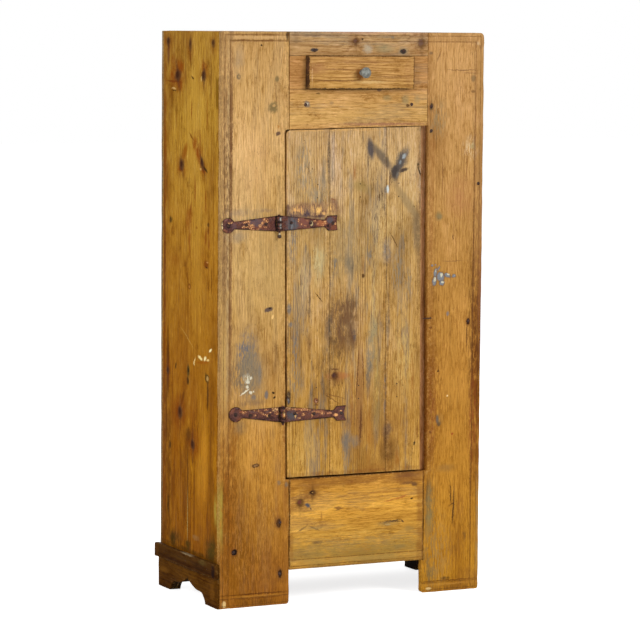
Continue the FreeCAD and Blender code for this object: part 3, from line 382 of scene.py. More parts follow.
def iron(name, look):
    shader = Shader(name)
    places = ragged_places(shader)
    coarse = shader.noise(shader.place, 60, 4, 0.65)
    fine = shader.noise(shader.place, 420, 4, 0.7)
    chips = shader.noise(shader.place, 380, 4, 0.62)
    flake = shader.noise(shader.stretched(shader.place, (120, 120, 170)), 1, 3, 0.6)
    colour = shader.ramp(coarse, [(position, rgb(*tone)) for position, tone in look.tones])
    for amount, tone in (
            (shader.span(fine, 0.46, 0.62, 0.0, 0.75), rgb(46, 28, 26)),
            (shader.span(chips, 0.56, 0.62, 0.0, 0.45), rgb(146, 92, 68)),
            (shader.span(flake, 0.56, 0.64, 0.0, 1 - look.rust), rgb(84, 82, 84))):
        colour = shader.mix(amount, colour, tone)
    for mark in look.marks:
        mask, _ = mark_mask(shader, places, mark, look)
        if mark.edge > CHIPPED:
            rim = shader.times(mask, shader.span(chips, 0.44, 0.48))
            colour = shader.mix(rim, colour, rgb(158, 88, 50))
            mask = shader.times(mask, shader.span(chips, 0.50, 0.55))
        elif mark.edge > SCUFFED:
            mask = shader.times(mask, shader.span(fine, 0.40, 0.5, 0.3, 1.0))
        colour = shader.mix(mask, colour, rgb(*mark.colour))
    # painted shadow: a dark rim on the bevelled edges round each leaf's outline
    shaded_rim = shader.times(shader.attribute("wear"), shader.span(fine, 0.3, 0.6, 0.5, 0.95))
    colour = shader.mix(shaded_rim, colour, rgb(34, 20, 18))
    height = shader.plus(coarse, shader.times(fine, 0.5))
    height = shader.plus(height, shader.times(shader.span(chips, 0.44, 0.52), 0.5))
    return shader.finish(colour, shader.span(fine, 0.3, 0.7, 0.6, 0.85), height, 0.6, metallic=0.15)


# ---------------------------------------------------------------- worn boards from the frame's nodes

NOISE_START = Vector((3.1, 7.7, 1.9))
HOLLOWS_PER_METRE = 9
SAME_PLACE = 1e-5
ON_LINE = 2e-4
PARALLEL = 0.99
CORNER_REACH = 0.004
FLAT = math.radians(1.5)
SHARP = math.radians(25)
SMOOTH = math.radians(35)


class Groove:
    """A scratched line on a face, along x or z, with its two ends, all in metres."""

    def __init__(self, axis, at, low, high, depth=0.0015, half=0.0016):
        self.axis, self.at, self.low, self.high = axis, at, low, high
        self.depth, self.half = depth, half


def cut_across(mesh, axis, positions):
    """Cut a mesh by planes square to one axis."""
    normal = Vector((axis == 0, axis == 1, axis == 2))
    for position in positions:
        bmesh.ops.bisect_plane(mesh, geom=mesh.verts[:] + mesh.edges[:] + mesh.faces[:], dist=1e-6,
                               plane_co=normal * position, plane_no=normal)


def steps(low, high, size):
    """The places that cut low..high into equal parts of about the size."""
    count = max(int(round((high - low) / size)), 1)
    return [low + (high - low) * index / count for index in range(1, count)]


def round_corners(mesh, corners):
    """Round off the upright-facing corners of a board at the places (x, z), each with its own radius."""
    for x, z, radius in corners:
        near = [
            edge for edge in mesh.edges
            if abs((edge.verts[0].co - edge.verts[1].co).normalized().y) > PARALLEL
            and all(max(abs(vert.co.x - x), abs(vert.co.z - z)) < CORNER_REACH for vert in edge.verts)]
        bmesh.ops.bevel(mesh, geom=near, offset=radius, segments=4, profile=0.5, affect="EDGES")


def worn(node, body, material, arris=0.0022, cell=0.03, nicks=0.0009, hollow=0.0003, grooves=(),
         segments=2, corners=(), nick_size=0.018):
    """A copy of a CAD board with its arrises worn off, its faces a little uneven and lines scratched in."""
    mesh = bmesh.new()
    mesh.from_mesh(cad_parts[node].data)
    bmesh.ops.remove_doubles(mesh, verts=mesh.verts[:], dist=SAME_PLACE)
    bmesh.ops.dissolve_limit(mesh, angle_limit=FLAT, verts=mesh.verts[:], edges=mesh.edges[:])
    for face in mesh.faces:
        face.material_index = 0
    low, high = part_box(node)
    round_corners(mesh, corners)
    rim = mesh.faces.layers.int.new("rim")
    sharp = [edge for edge in mesh.edges if edge.is_manifold and edge.calc_face_angle() > SHARP]
    bevelled = bmesh.ops.bevel(mesh, geom=sharp, offset=arris, segments=segments, profile=0.6, affect="EDGES",
                               clamp_overlap=True)
    for face in bevelled["faces"]:
        face[rim] = 1
    near = arris * 2.6  # just past the worn arris
    for axis in range(3):
        size = high[axis] - low[axis]
        if size > cell * 0.9:
            lines = [low[axis] + near, high[axis] - near] + steps(low[axis] + near, high[axis] - near, cell)
            for groove in grooves:
                if "xyz".index(groove.axis) == axis:
                    lines += [groove.at - groove.half, groove.at, groove.at + groove.half]
                elif axis == (2 if groove.axis == "x" else 0):
                    lines += [groove.low, groove.high]
            cut_across(mesh, axis, sorted(lines))
    worn_layer, groove_layer, board_layer = (
        mesh.verts.layers.float.new(name) for name in ("wear", "groove", "board"))
    board = sum(ord(letter) for letter in node) % 19 * 0.7  # where in the wood this board was cut
    mesh.verts.ensure_lookup_table()
    mesh.normal_update()
    for vertex in mesh.verts:
        vertex[worn_layer] = float(any(face[rim] for face in vertex.link_faces))
        vertex[board_layer] = board
    moves = []
    for vertex in mesh.verts:
        place = vertex.co
        soft = noise.noise(place * HOLLOWS_PER_METRE + NOISE_START) * 0.5 + 0.5
        rough = noise.noise(place / nick_size + NOISE_START) * 0.5 + 0.5
        depth = hollow * soft
        if vertex[worn_layer]:
            depth += nicks * max(rough * 1.6 - 0.5, 0)  # only where the noise is high
        move = vertex.normal * -depth
        if abs(place.y - low.y) < SAME_PLACE:
            for groove in grooves:
                value = place.x if groove.axis == "x" else place.z
                other = place.z if groove.axis == "x" else place.x
                within = groove.low - ON_LINE / 2 < other < groove.high + ON_LINE / 2
                if abs(value - groove.at) < ON_LINE and within:
                    move += Vector((0, groove.depth * (0.45 + 0.8 * rough), 0))
                    vertex[groove_layer] = 1
        moves.append(move)
    for vertex, move in zip(mesh.verts, moves):
        vertex.co += move
    return finish_mesh(mesh, node + "_worn", body, material, replaces=node)


def finish_mesh(mesh, name, body, material, replaces):
    """Make a piece of a mesh, let it ride its body and take the place of its CAD node."""
    data = bpy.data.meshes.new(name)
    mesh.to_mesh(data)
    mesh.free()
    data.materials.clear()
    data.materials.append(material)
    data.shade_smooth()
    data.set_sharp_from_angle(angle=SMOOTH)
    piece = bpy.data.objects.new(name, data)
    bpy.context.scene.collection.objects.link(piece)
    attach(piece, body)
    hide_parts(replaces)
    return piece


# ---------------------------------------------------------------- the front frame

# A board's tones are its colours at levels in millimetres, from the bottom up.
GOLD = [(30, (164, 104, 30)), (180, (186, 128, 44)), (420, (192, 138, 58)), (640, (192, 148, 82)),
        (860, (200, 160, 94)), (1280, (204, 162, 100)), (1500, (192, 150, 90))]
GOLD_RIGHT = [(30, (192, 135, 34)), (300, (188, 131, 43)), (620, (184, 130, 53)), (860, (178, 129, 60)),
              (1120, (188, 142, 80)), (1480, (196, 150, 92))]
MARGIN_TONE = (142, 88, 20)

left_marks = eye(-285, 378, 23, 12, (150, 112, 70)) + placed([
    band(-372, 200, 36, 560, MARGIN_TONE, 0.75, 1.2), band(-374, 1000, 30, 1060, (150, 116, 76), 0.8, 1.2),
    band(-369, 1000, 7, 1040, (208, 176, 124), 0.5, 1.2), band(-360, 1000, 7, 1020, (118, 78, 46), 0.85),
    band(-360, 1130, 8, 330, (96, 58, 32), 0.9, 1.3), band(-372, 1100, 34, 820, (112, 80, 50), 0.75, 1.4),
    band(-378, 640, 12, 300, (206, 168, 96), 0.6, 1.2), band(-362, 290, 44, 400, (144, 84, 16), 0.7, 1.2),
    (-358, 300, 70, 420, (96, 52, 6), 0.55, 1.5), (-340, 150, 110, 260, (120, 72, 8), 0.55, 1.5),
    (-270, 110, 220, 180, (112, 66, 6), 0.6, 1.5), (-260, 250, 130, 120, (134, 82, 18), 0.6, 1.4),
    (-250, 900, 120, 260, (176, 144, 92), 0.5, 1.3), (-290, 1180, 90, 220, (224, 178, 122), 0.4, 1.3),
    (-300, 1030, 150, 60, (150, 132, 98), 0.5, 1.4), band(-385, 250, 12, 160, (176, 160, 70), 0.6, 1.2),
    band(-280, 1504, 170, 8, (206, 164, 114), 0.6), band(-280, 1496, 165, 5, (116, 76, 40), 0.85),
    band(-280, 1512, 175, 5, (116, 76, 40), 0.7), band(-372, 1506, 34, 30, (140, 104, 62), 0.6, 1.2),
    (-338, 1440, 30, 90, (150, 130, 104), 0.55, 1.2), band(-300, 14, 190, 40, (134, 82, 8), 0.6, 1.2),
    band(-290, 35, 190, 3.5, (84, 44, 10), 0.8, 0.9), band(-290, 29, 190, 5, (196, 136, 50), 0.6, 1.1),
    band(-290, 23, 190, 3, (92, 50, 12), 0.7), (-285, 11, 190, 20, (96, 56, 10), 0.7, 1.45),
    band(-352, 60, 60, 140, (134, 82, 8), 0.6, 1.2), band(-198, 400, 16, 800, (140, 86, 36), 0.6, 1.3),
    (-310, 650, 60, 150, (128, 114, 90), 0.7, 1.2), (-308, 655, 54, 160, (88, 94, 106), 0.9, 1.45),
    (-318, 615, 90, 110, (90, 84, 74), 0.75, 1.5), (-275, 620, 12, 70, (104, 104, 104), 0.75, 1.1),
    (-324, 690, 34, 60, (92, 96, 106), 0.85, 1.45), (-300, 610, 90, 190, (140, 122, 94), 0.6, 1.3),
    (-312, 610, 22, 22, WHITE, 0.9, 1.45), (-309, 600, 12, 8, WHITE, 0.95, 0.9),
    (-300, 611, 6, 10, WHITE, 0.9, 0.9), (-311, 588, 7, 10, WHITE, 0.9, 0.9),
    (-318, 574, 30, 5, WHITE, 0.95, 0.7, -35), (-300, 572, 9, 8, WHITE, 0.95, 0.7),
    (-292, 574, 4, 6, WHITE, 0.9, 0.7), (-255, 564, 12, 22, SLATE, 0.8, 0.8),
    (-292, 560, 14, 14, SLATE, 0.6, 0.9), (-235, 569, 9, 6, BLACK, 0.95, 0.45, 30),
    (-232, 556, 8, 5, BLACK, 0.95, 0.45, -20), (-194, 322, 12, 14, GREY, 0.7, 0.9),
    (-217, 328, 12, 14, GREY, 0.7, 0.9), (-347, 150, 24, 22, (116, 66, 26), 0.8, 0.8),
    (-346, 150, 17, 17, (20, 12, 8), 0.97, 0.35), (-218, 222, 24, 38, (112, 70, 32), 0.8, 0.9),
    (-217, 220, 14, 26, (20, 12, 8), 0.95, 0.4), (-213, 84, 22, 36, (112, 70, 30), 0.8, 0.9),
    (-212, 84, 12, 24, (20, 12, 8), 0.95, 0.4), (-375, 12, 12, 18, CREAM, 0.9, 0.6),
    (-240, 120, 120, 120, (146, 92, 36), 0.45, 1.3), (-200, 1509, 10, 26, BLACK, 0.8, 0.7),
    (-240, 1322, 26, 30, (112, 94, 58), 0.9, 0.94), (-238, 1326, 10, 8, (190, 150, 92), 0.8, 0.8),
    (-230, 1396, 12, 16, (120, 100, 64), 0.85, 0.9), (-225, 1253, 15, 11, (86, 60, 52), 0.9, 0.6, -25),
    (-224, 1270, 8, 10, (170, 110, 40), 0.7, 0.8), (-340, 1402, 11, 17, (104, 88, 66), 0.85, 0.8),
    (-339, 1402, 5, 8, (168, 134, 84), 0.8, 0.7), (-275, 1484, 6, 5, BLACK, 0.9),
    (-352, 560, 16, 12, (146, 118, 70), 0.5, 1.0), (-250, 790, 26, 13, (90, 72, 66), 0.95, 0.6, -14),
    (-246, 794, 10, 6, BLACK, 0.8, 0.6, -14), (-238, 770, 7, 12, (232, 190, 120), 0.9, 0.6, 30),
    (-268, 1052, 60, 10, (110, 90, 84), 0.5, 1.1), (-345, 985, 60, 34, (140, 126, 106), 0.55, 1.3),
    (-338, 1046, 80, 20, (130, 110, 96), 0.5, 1.3), (-330, 480, 40, 40, (126, 104, 74), 0.55, 1.3),
    (-300, 545, 90, 16, (110, 84, 66), 0.6, 1.2), (-220, 300, 14, 260, (160, 104, 48), 0.35, 1.3),
    (-252, 60, 60, 50, (136, 86, 40), 0.5, 1.2),
])
right_marks = placed([
    (229, 1322, 8, 20, BLACK, 0.95, 0.45, 6), (227, 1255, 7, 9, BLACK, 0.9), (374, 1113, 7, 7, BLACK, 0.85),
    (228, 1322, 16, 28, (120, 74, 36), 0.7, 0.9), (228, 1322, 9, 20, (20, 12, 8), 0.95, 0.45, 6),
    (348, 738, 15, 26, (120, 72, 36), 0.7, 0.9), (348, 738, 10, 18, (20, 12, 8), 0.97),
    (345, 700, 4, 80, (84, 50, 26), 0.75, 0.9), (360, 700, 3, 200, (104, 62, 30), 0.7, 1.0),
    (356, 1398, 16, 20, (126, 100, 66), 0.75, 0.9), (356, 1362, 14, 8, (112, 74, 44), 0.7, 0.9),
    (250, 1456, 5, 26, (120, 84, 50), 0.7, 0.9, 20), (352, 1210, 46, 56, (216, 188, 146), 0.8, 1.45),
    (248, 1290, 60, 100, (136, 118, 84), 0.7, 1.45), (320, 1080, 90, 110, (172, 116, 74), 0.55, 1.3),
    (255, 1027, 22, 26, (128, 106, 66), 0.75, 0.94), (299, 970, 4, 18, (96, 58, 28), 0.85, 0.7),
    (301, 1000, 3, 50, (140, 96, 54), 0.6, 0.8), (265, 1140, 3, 100, (128, 84, 46), 0.7, 0.9),
    (338, 1165, 3, 110, (128, 84, 46), 0.7, 0.9), (320, 1420, 100, 3, (126, 88, 56), 0.75, 0.7),
    (350, 1412, 60, 3, (126, 88, 56), 0.6, 0.7), (372, 1490, 26, 34, (128, 88, 56), 0.7, 1.5),
    (370, 1492, 10, 10, (216, 190, 150), 0.8, 1.1), (300, 560, 130, 90, (196, 140, 60), 0.5, 1.3),
    (250, 560, 60, 420, (122, 72, 18), 0.65, 1.4), (257, 474, 9, 24, (80, 80, 84), 0.85, 0.94),
    (262, 462, 12, 14, (74, 58, 44), 0.8, 0.9), (258, 606, 6, 6, (60, 32, 16), 0.9),
    (287, 538, 5, 5, (240, 216, 160), 0.9), (303, 432, 7, 7, (150, 66, 30), 0.85),
    (232, 725, 10, 8, (74, 40, 22), 0.9), (300, 270, 4, 70, (70, 38, 18), 0.85, 0.8, -4),
    (308, 215, 4, 60, (70, 38, 18), 0.85, 0.8, 3), (305, 240, 26, 4, (90, 52, 24), 0.7, 0.9, -30),
    (330, 230, 30, 70, (140, 88, 36), 0.5, 1.4), (285, 340, 60, 22, (150, 108, 52), 0.7, 1.3),
    (345, 150, 14, 24, (84, 60, 34), 0.7, 1.4), (240, 170, 46, 300, (120, 96, 52), 0.7, 1.45),
    (236, 250, 10, 90, (84, 84, 72), 0.8, 1.3), (240, 60, 40, 100, (100, 80, 46), 0.7, 1.5),
    (285, 36, 34, 9, (70, 44, 20), 0.85, 1.1), (300, 130, 150, 160, (140, 92, 34), 0.5, 1.5),
    (285, 762, 10, 14, (116, 112, 110), 0.75, 0.8), (262, 475, 24, 30, (126, 104, 66), 0.55, 1.1),
    (235, 250, 22, 30, (120, 112, 78), 0.55, 1.2), (240, 60, 24, 50, (118, 100, 62), 0.6, 1.2),
    (230, 220, 12, 140, (128, 112, 72), 0.5, 1.3), (232, 400, 6, 5, BLACK, 0.85), (236, 440, 6, 8, DARK, 0.8),
    band(234, 520, 24, 320, (116, 66, 22), 0.85, 1.2), band(232, 540, 20, 460, (132, 80, 20), 0.8, 1.3),
    band(232, 1000, 14, 500, (150, 96, 50), 0.5, 1.3), band(376, 560, 30, 560, (116, 64, 14), 0.95, 1.2),
    band(370, 700, 40, 420, (84, 44, 10), 0.8, 1.45), band(362, 700, 4, 1240, (104, 62, 32), 0.8),
    band(384, 960, 14, 560, (132, 84, 52), 0.75, 1.1), band(374, 1050, 24, 500, (136, 90, 52), 0.6, 1.4),
    band(384, 180, 10, 240, (150, 132, 92), 0.6, 1.3), band(366, 1250, 3, 480, (140, 98, 56), 0.6),
    band(378, 1250, 3, 480, (140, 98, 56), 0.6), (228, 255, 7, 130, (86, 62, 36), 0.75, 1.1),
    (236, 230, 20, 140, (134, 120, 76), 0.6, 1.2), band(378, 1250, 24, 560, (164, 122, 68), 0.7, 1.2),
    band(300, 1509, 180, 30, (160, 118, 70), 0.6, 1.2), band(300, 12, 180, 34, (140, 92, 28), 0.7, 1.2),
    band(300, 30, 180, 3.5, (96, 52, 12), 0.75, 0.9), band(300, 20, 180, 4, (196, 140, 60), 0.5, 1.1),
    (300, 9, 170, 16, (104, 62, 16), 0.65, 1.45), (366, 470, 26, 250, (136, 66, 30), 0.75, 1.45),
    (262, 110, 70, 190, (176, 140, 80), 0.45, 1.45), (240, 500, 26, 220, (134, 70, 34), 0.5, 1.45),
    band(218, 1400, 12, 280, (150, 104, 56), 0.6, 1.2), (310, 245, 5, 110, DARK, 0.8, 0.9, 1),
    (235, 10, 18, 8, CREAM, 0.9), (257, 1026, 16, 14, (130, 116, 80), 0.6, 1.1),
    (355, 1215, 14, 16, (176, 158, 112), 0.6, 1.1), (300, 905, 70, 3, (120, 82, 50), 0.6, 0.8),
    (330, 1420, 90, 3, (130, 92, 56), 0.55, 0.8), (226, 1465, 12, 10, (110, 84, 60), 0.7, 0.8),
    (360, 35, 60, 60, (150, 100, 44), 0.5, 1.2),
])


def paint(across, level, width, height, turn=0, cream=0):
    """A fleck of old grey-blue paint: a dark rim, the paint and a chip of its cream undercoat."""
    marks = [Mark(across, level, width * 1.3, height * 1.25, (86, 66, 48), 0.8, 0.7, turn),
             Mark(across, level, width, height, (122, 126, 132), 0.95, 0.5, turn)]
    if cream:
        marks.append(Mark(across + width * 0.15, level + height * 0.2, width * cream, height * cream,
                          (206, 200, 172), 0.9, 0.6, turn))
    return marks


right_marks += each(paint, [
    (246, 874, 9, 24, 12, 0.3), (243, 851, 12, 24, 8, 0.6), (262, 862, 22, 26, -20, 0.4),
    (266, 846, 14, 13, 0, 0.6), (283, 866, 20, 10, 24, 0.5), (303, 864, 11, 9, 0, 0.2), (237, 893, 6, 6),
    (246, 895, 5, 4), (258, 888, 4, 8), (254, 884, 4, 9),
])
rail_marks = each(knot, [(0, 1495, 18, 14, 0.8, PURPLE), (197, 1490, 26, 26, 0.7, PURPLE)]) + placed([
    (20, 1500, 7, 6, BLACK, 0.85), (110, 1507, 9, 8, (122, 108, 90), 0.7),
    (-122, 1472, 24, 10, (58, 56, 58), 0.95, 0.5), (141, 1469, 30, 22, (140, 128, 104), 0.7, 1.0),
    (141, 1469, 20, 14, (52, 46, 44), 0.95, 0.5), (36, 1476, 28, 26, (176, 164, 140), 0.75, 1.0),
    (86, 1476, 60, 22, (146, 134, 98), 0.65, 1.2), (-125, 1510, 60, 10, (128, 112, 92), 0.55, 1.2),
    (60, 1518, 290, 8, (196, 150, 118), 0.6, 0.9), (-180, 1505, 30, 40, (120, 92, 62), 0.5, 1.2),
])
lower_rail_marks = placed([
    (-142, 1330, 20, 16, (110, 98, 88), 0.85, 0.7, 40), (-142, 1330, 8, 8, (196, 184, 160), 0.7, 0.7),
    (-70, 1333, 12, 10, (146, 116, 80), 0.6, 0.9), (95, 1345, 26, 16, (134, 122, 84), 0.55, 1.1),
    (150, 1340, 22, 30, (136, 124, 88), 0.6, 1.1), (185, 1340, 18, 22, (140, 126, 90), 0.5, 1.1),
    (157, 1325, 12, 8, DARK, 0.85), (70, 1366, 14, 8, PURPLE, 0.8), (-110, 1357, 14, 4, DARK, 0.8),
    (80, 1276, 260, 9, (150, 102, 78), 0.7, 0.9), (-130, 1352, 110, 16, (170, 132, 66), 0.4, 1.2),
])
DRAWER_LOW, DRAWER_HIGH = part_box("drawer_front")
drawer_left, drawer_right = DRAWER_LOW.x / MM, DRAWER_HIGH.x / MM
drawer_marks = placed([
    # The first three bands are painted shade: the shaded left end face of the proud front, and painted shadow
    # in the gaps at its right end and under it.
    band(drawer_left, 1413, 3.5, 100, (52, 32, 22), 0.95, 0.5),
    band(drawer_right, 1413, 5, 100, (70, 42, 24), 0.85, 0.5),
    band(0, DRAWER_LOW.z / MM, 320, 3.5, (44, 26, 16), 0.9, 0.5),
    band(0, DRAWER_HIGH.z / MM, 320, 2.5, (120, 78, 44), 0.6, 0.9),
    # (6, 1411) is partly a rust stain and partly the knob's painted shadow, below and left of it.
    (6, 1411, 34, 34, (124, 72, 30), 0.85, 0.94), (-120, 1425, 50, 30, (150, 100, 66), 0.5, 1.2),
    # (-136, 1410) is a painted highlight along the front's left arris.
    (-136, 1410, 4, 60, (206, 168, 120), 0.7, 1.45), (-60, 1392, 130, 3, (110, 72, 40), 0.8, 0.7),
    (-60, 1422, 90, 4, (126, 86, 56), 0.6, 0.9), (0, 1440, 210, 5, (140, 98, 60), 0.55, 0.9),
    (100, 1402, 120, 4, (124, 84, 48), 0.6, 0.9), (40, 1388, 110, 8, (216, 182, 124), 0.6, 1.1),
    (150, 1410, 26, 60, (150, 104, 62), 0.5, 1.2),
])
panel_marks = each(knot, [
    (-117, 295, 20, 15, 1.0, (30, 18, 10)), (-153, 270, 22, 17, 0.9, (110, 60, 44)),
]) + placed([
    (-117, 296, 6, 5, (190, 140, 70), 0.8, 0.7), (-131, 262, 18, 12, (74, 78, 84), 0.95, 0.8, 30),
    (-122, 252, 8, 5, (60, 60, 62), 0.85, 0.8, 30), (-145, 200, 36, 5, (134, 102, 56), 0.85, 0.8, -28),
    (-112, 200, 40, 5, (134, 102, 56), 0.85, 0.8, 24), (-107, 160, 22, 8, (112, 84, 50), 0.85, 0.8),
    (-40, 250, 24, 8, (132, 88, 44), 0.8, 0.9), (104, 202, 18, 5, (104, 74, 44), 0.85, 0.8, -40),
    (130, 204, 44, 4, (84, 58, 34), 0.9, 0.7, -6), (154, 201, 12, 4, (84, 58, 34), 0.9, 0.7, 40),
    (110, 195, 18, 5, (206, 178, 120), 0.7, 0.9), (170, 305, 54, 10, (112, 74, 42), 0.8, 1.1),
    (190, 300, 20, 12, (96, 66, 42), 0.8, 0.94), (160, 328, 60, 14, (104, 70, 44), 0.75, 1.2),
    (150, 268, 40, 5, (170, 92, 46), 0.7, 0.9, -16), (120, 262, 50, 4, (170, 92, 46), 0.6, 0.9, -12),
    (0, 318, 10, 10, (150, 90, 40), 0.7, 0.9), (145, 132, 44, 14, (112, 100, 70), 0.75, 1.3),
    (176, 180, 30, 18, (160, 124, 60), 0.7, 0.94), (-90, 230, 5, 24, (150, 96, 44), 0.6, 0.9),
    band(15, 148, 420, 60, (150, 122, 70), 0.6, 1.45), band(15, 108, 420, 14, (206, 166, 96), 0.5, 1.3),
    # band(15, 337, …) and the two bands at the panel's ends are painted shadow, in the gaps round the panel.
    band(15, 95, 420, 8, (120, 76, 34), 0.7, 1.2), band(15, 337, 420, 6, (52, 28, 12), 0.9, 0.6),
    band(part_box("lower_panel")[0].x / MM, 215, 8, 260, (56, 30, 14), 0.9, 0.6),
    band(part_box("lower_panel")[1].x / MM, 215, 8, 260, (86, 48, 22), 0.8, 0.6), (182, 262, 8, 6, BLACK, 0.9),
    (128, 203, 56, 4, DARK, 0.75, 0.8, 8), (110, 198, 70, 14, (140, 116, 72), 0.6, 1.1),
    (-35, 247, 30, 4, (124, 84, 44), 0.7, 0.8, -15), (-105, 200, 60, 10, (150, 122, 74), 0.55, 1.2),
    (-95, 160, 22, 8, (120, 90, 54), 0.6, 0.9), band(15, 120, 420, 70, (150, 122, 58), 0.6, 1.2),
    band(15, 324, 420, 30, (140, 90, 36), 0.75, 1.2), band(-180, 210, 16, 260, (150, 96, 36), 0.6, 1.2),
    band(208, 210, 22, 260, (142, 92, 36), 0.7, 1.2), (170, 320, 90, 30, (126, 78, 40), 0.55, 1.2),
    (100, 285, 160, 6, (150, 98, 44), 0.5, 1.1),
])

left_stile_wood = wood("left_stile_pine", Wood(
    GOLD, seed=1.3, pith=(-0.9, -0.3), ring=0.008, rings=0.3, streak=0.24, weather=0.12, mottle=0.6,
    marks=left_marks))
right_stile_wood = wood("right_stile_pine", Wood(
    GOLD_RIGHT, seed=4.6, pith=(1.1, -0.4), ring=0.008, rings=0.3, streak=0.3, mottle=0.55,
    marks=right_marks))
rail_wood = wood("upper_rail_pine", Wood(
    [(1440, (182, 140, 86)), (1520, (186, 150, 102))], grain="X", seed=7.9, pith=(1.53, -0.06), rings=0.5,
    streak=0.5, mottle=0.7, weather=0.4, marks=rail_marks))
lower_rail_wood = wood("lower_rail_pine", Wood(
    [(1260, (190, 142, 80)), (1290, (200, 157, 90)), (1350, (192, 146, 82)), (1380, (190, 140, 82))],
    grain="X", seed=2.2, pith=(0.7, -0.5), rings=0.35, streak=0.35, weather=0.25, marks=lower_rail_marks))
drawer_wood = wood("drawer_front_pine", Wood(
    [(1370, (190, 144, 76)), (1460, (186, 140, 80))], grain="X", through=FAR, seed=5.7, pith=(1.36, -0.13),
    ring=0.006, rings=0.6, streak=0.9, mottle=0.7, marks=drawer_marks))
panel_wood = wood("apron_pine", Wood(
    [(90, (190, 139, 52)), (180, (206, 155, 63)), (250, (228, 169, 67)), (330, (182, 127, 47))], grain="X",
    seed=9.4, pith=(0.9, -0.5), ring=0.011, rings=0.3, streak=0.4, weather=0.2, marks=panel_marks))

# ---------------------------------------------------------------- the door's wood

DOOR_TONES = [(340, (206, 156, 70)), (480, (188, 140, 62)), (620, (192, 146, 74)), (780, (196, 152, 84)),
              (1000, (196, 158, 96)), (1260, (202, 164, 110))]
BLUE_GREY = (104, 106, 106)
FADED = (124, 120, 106)

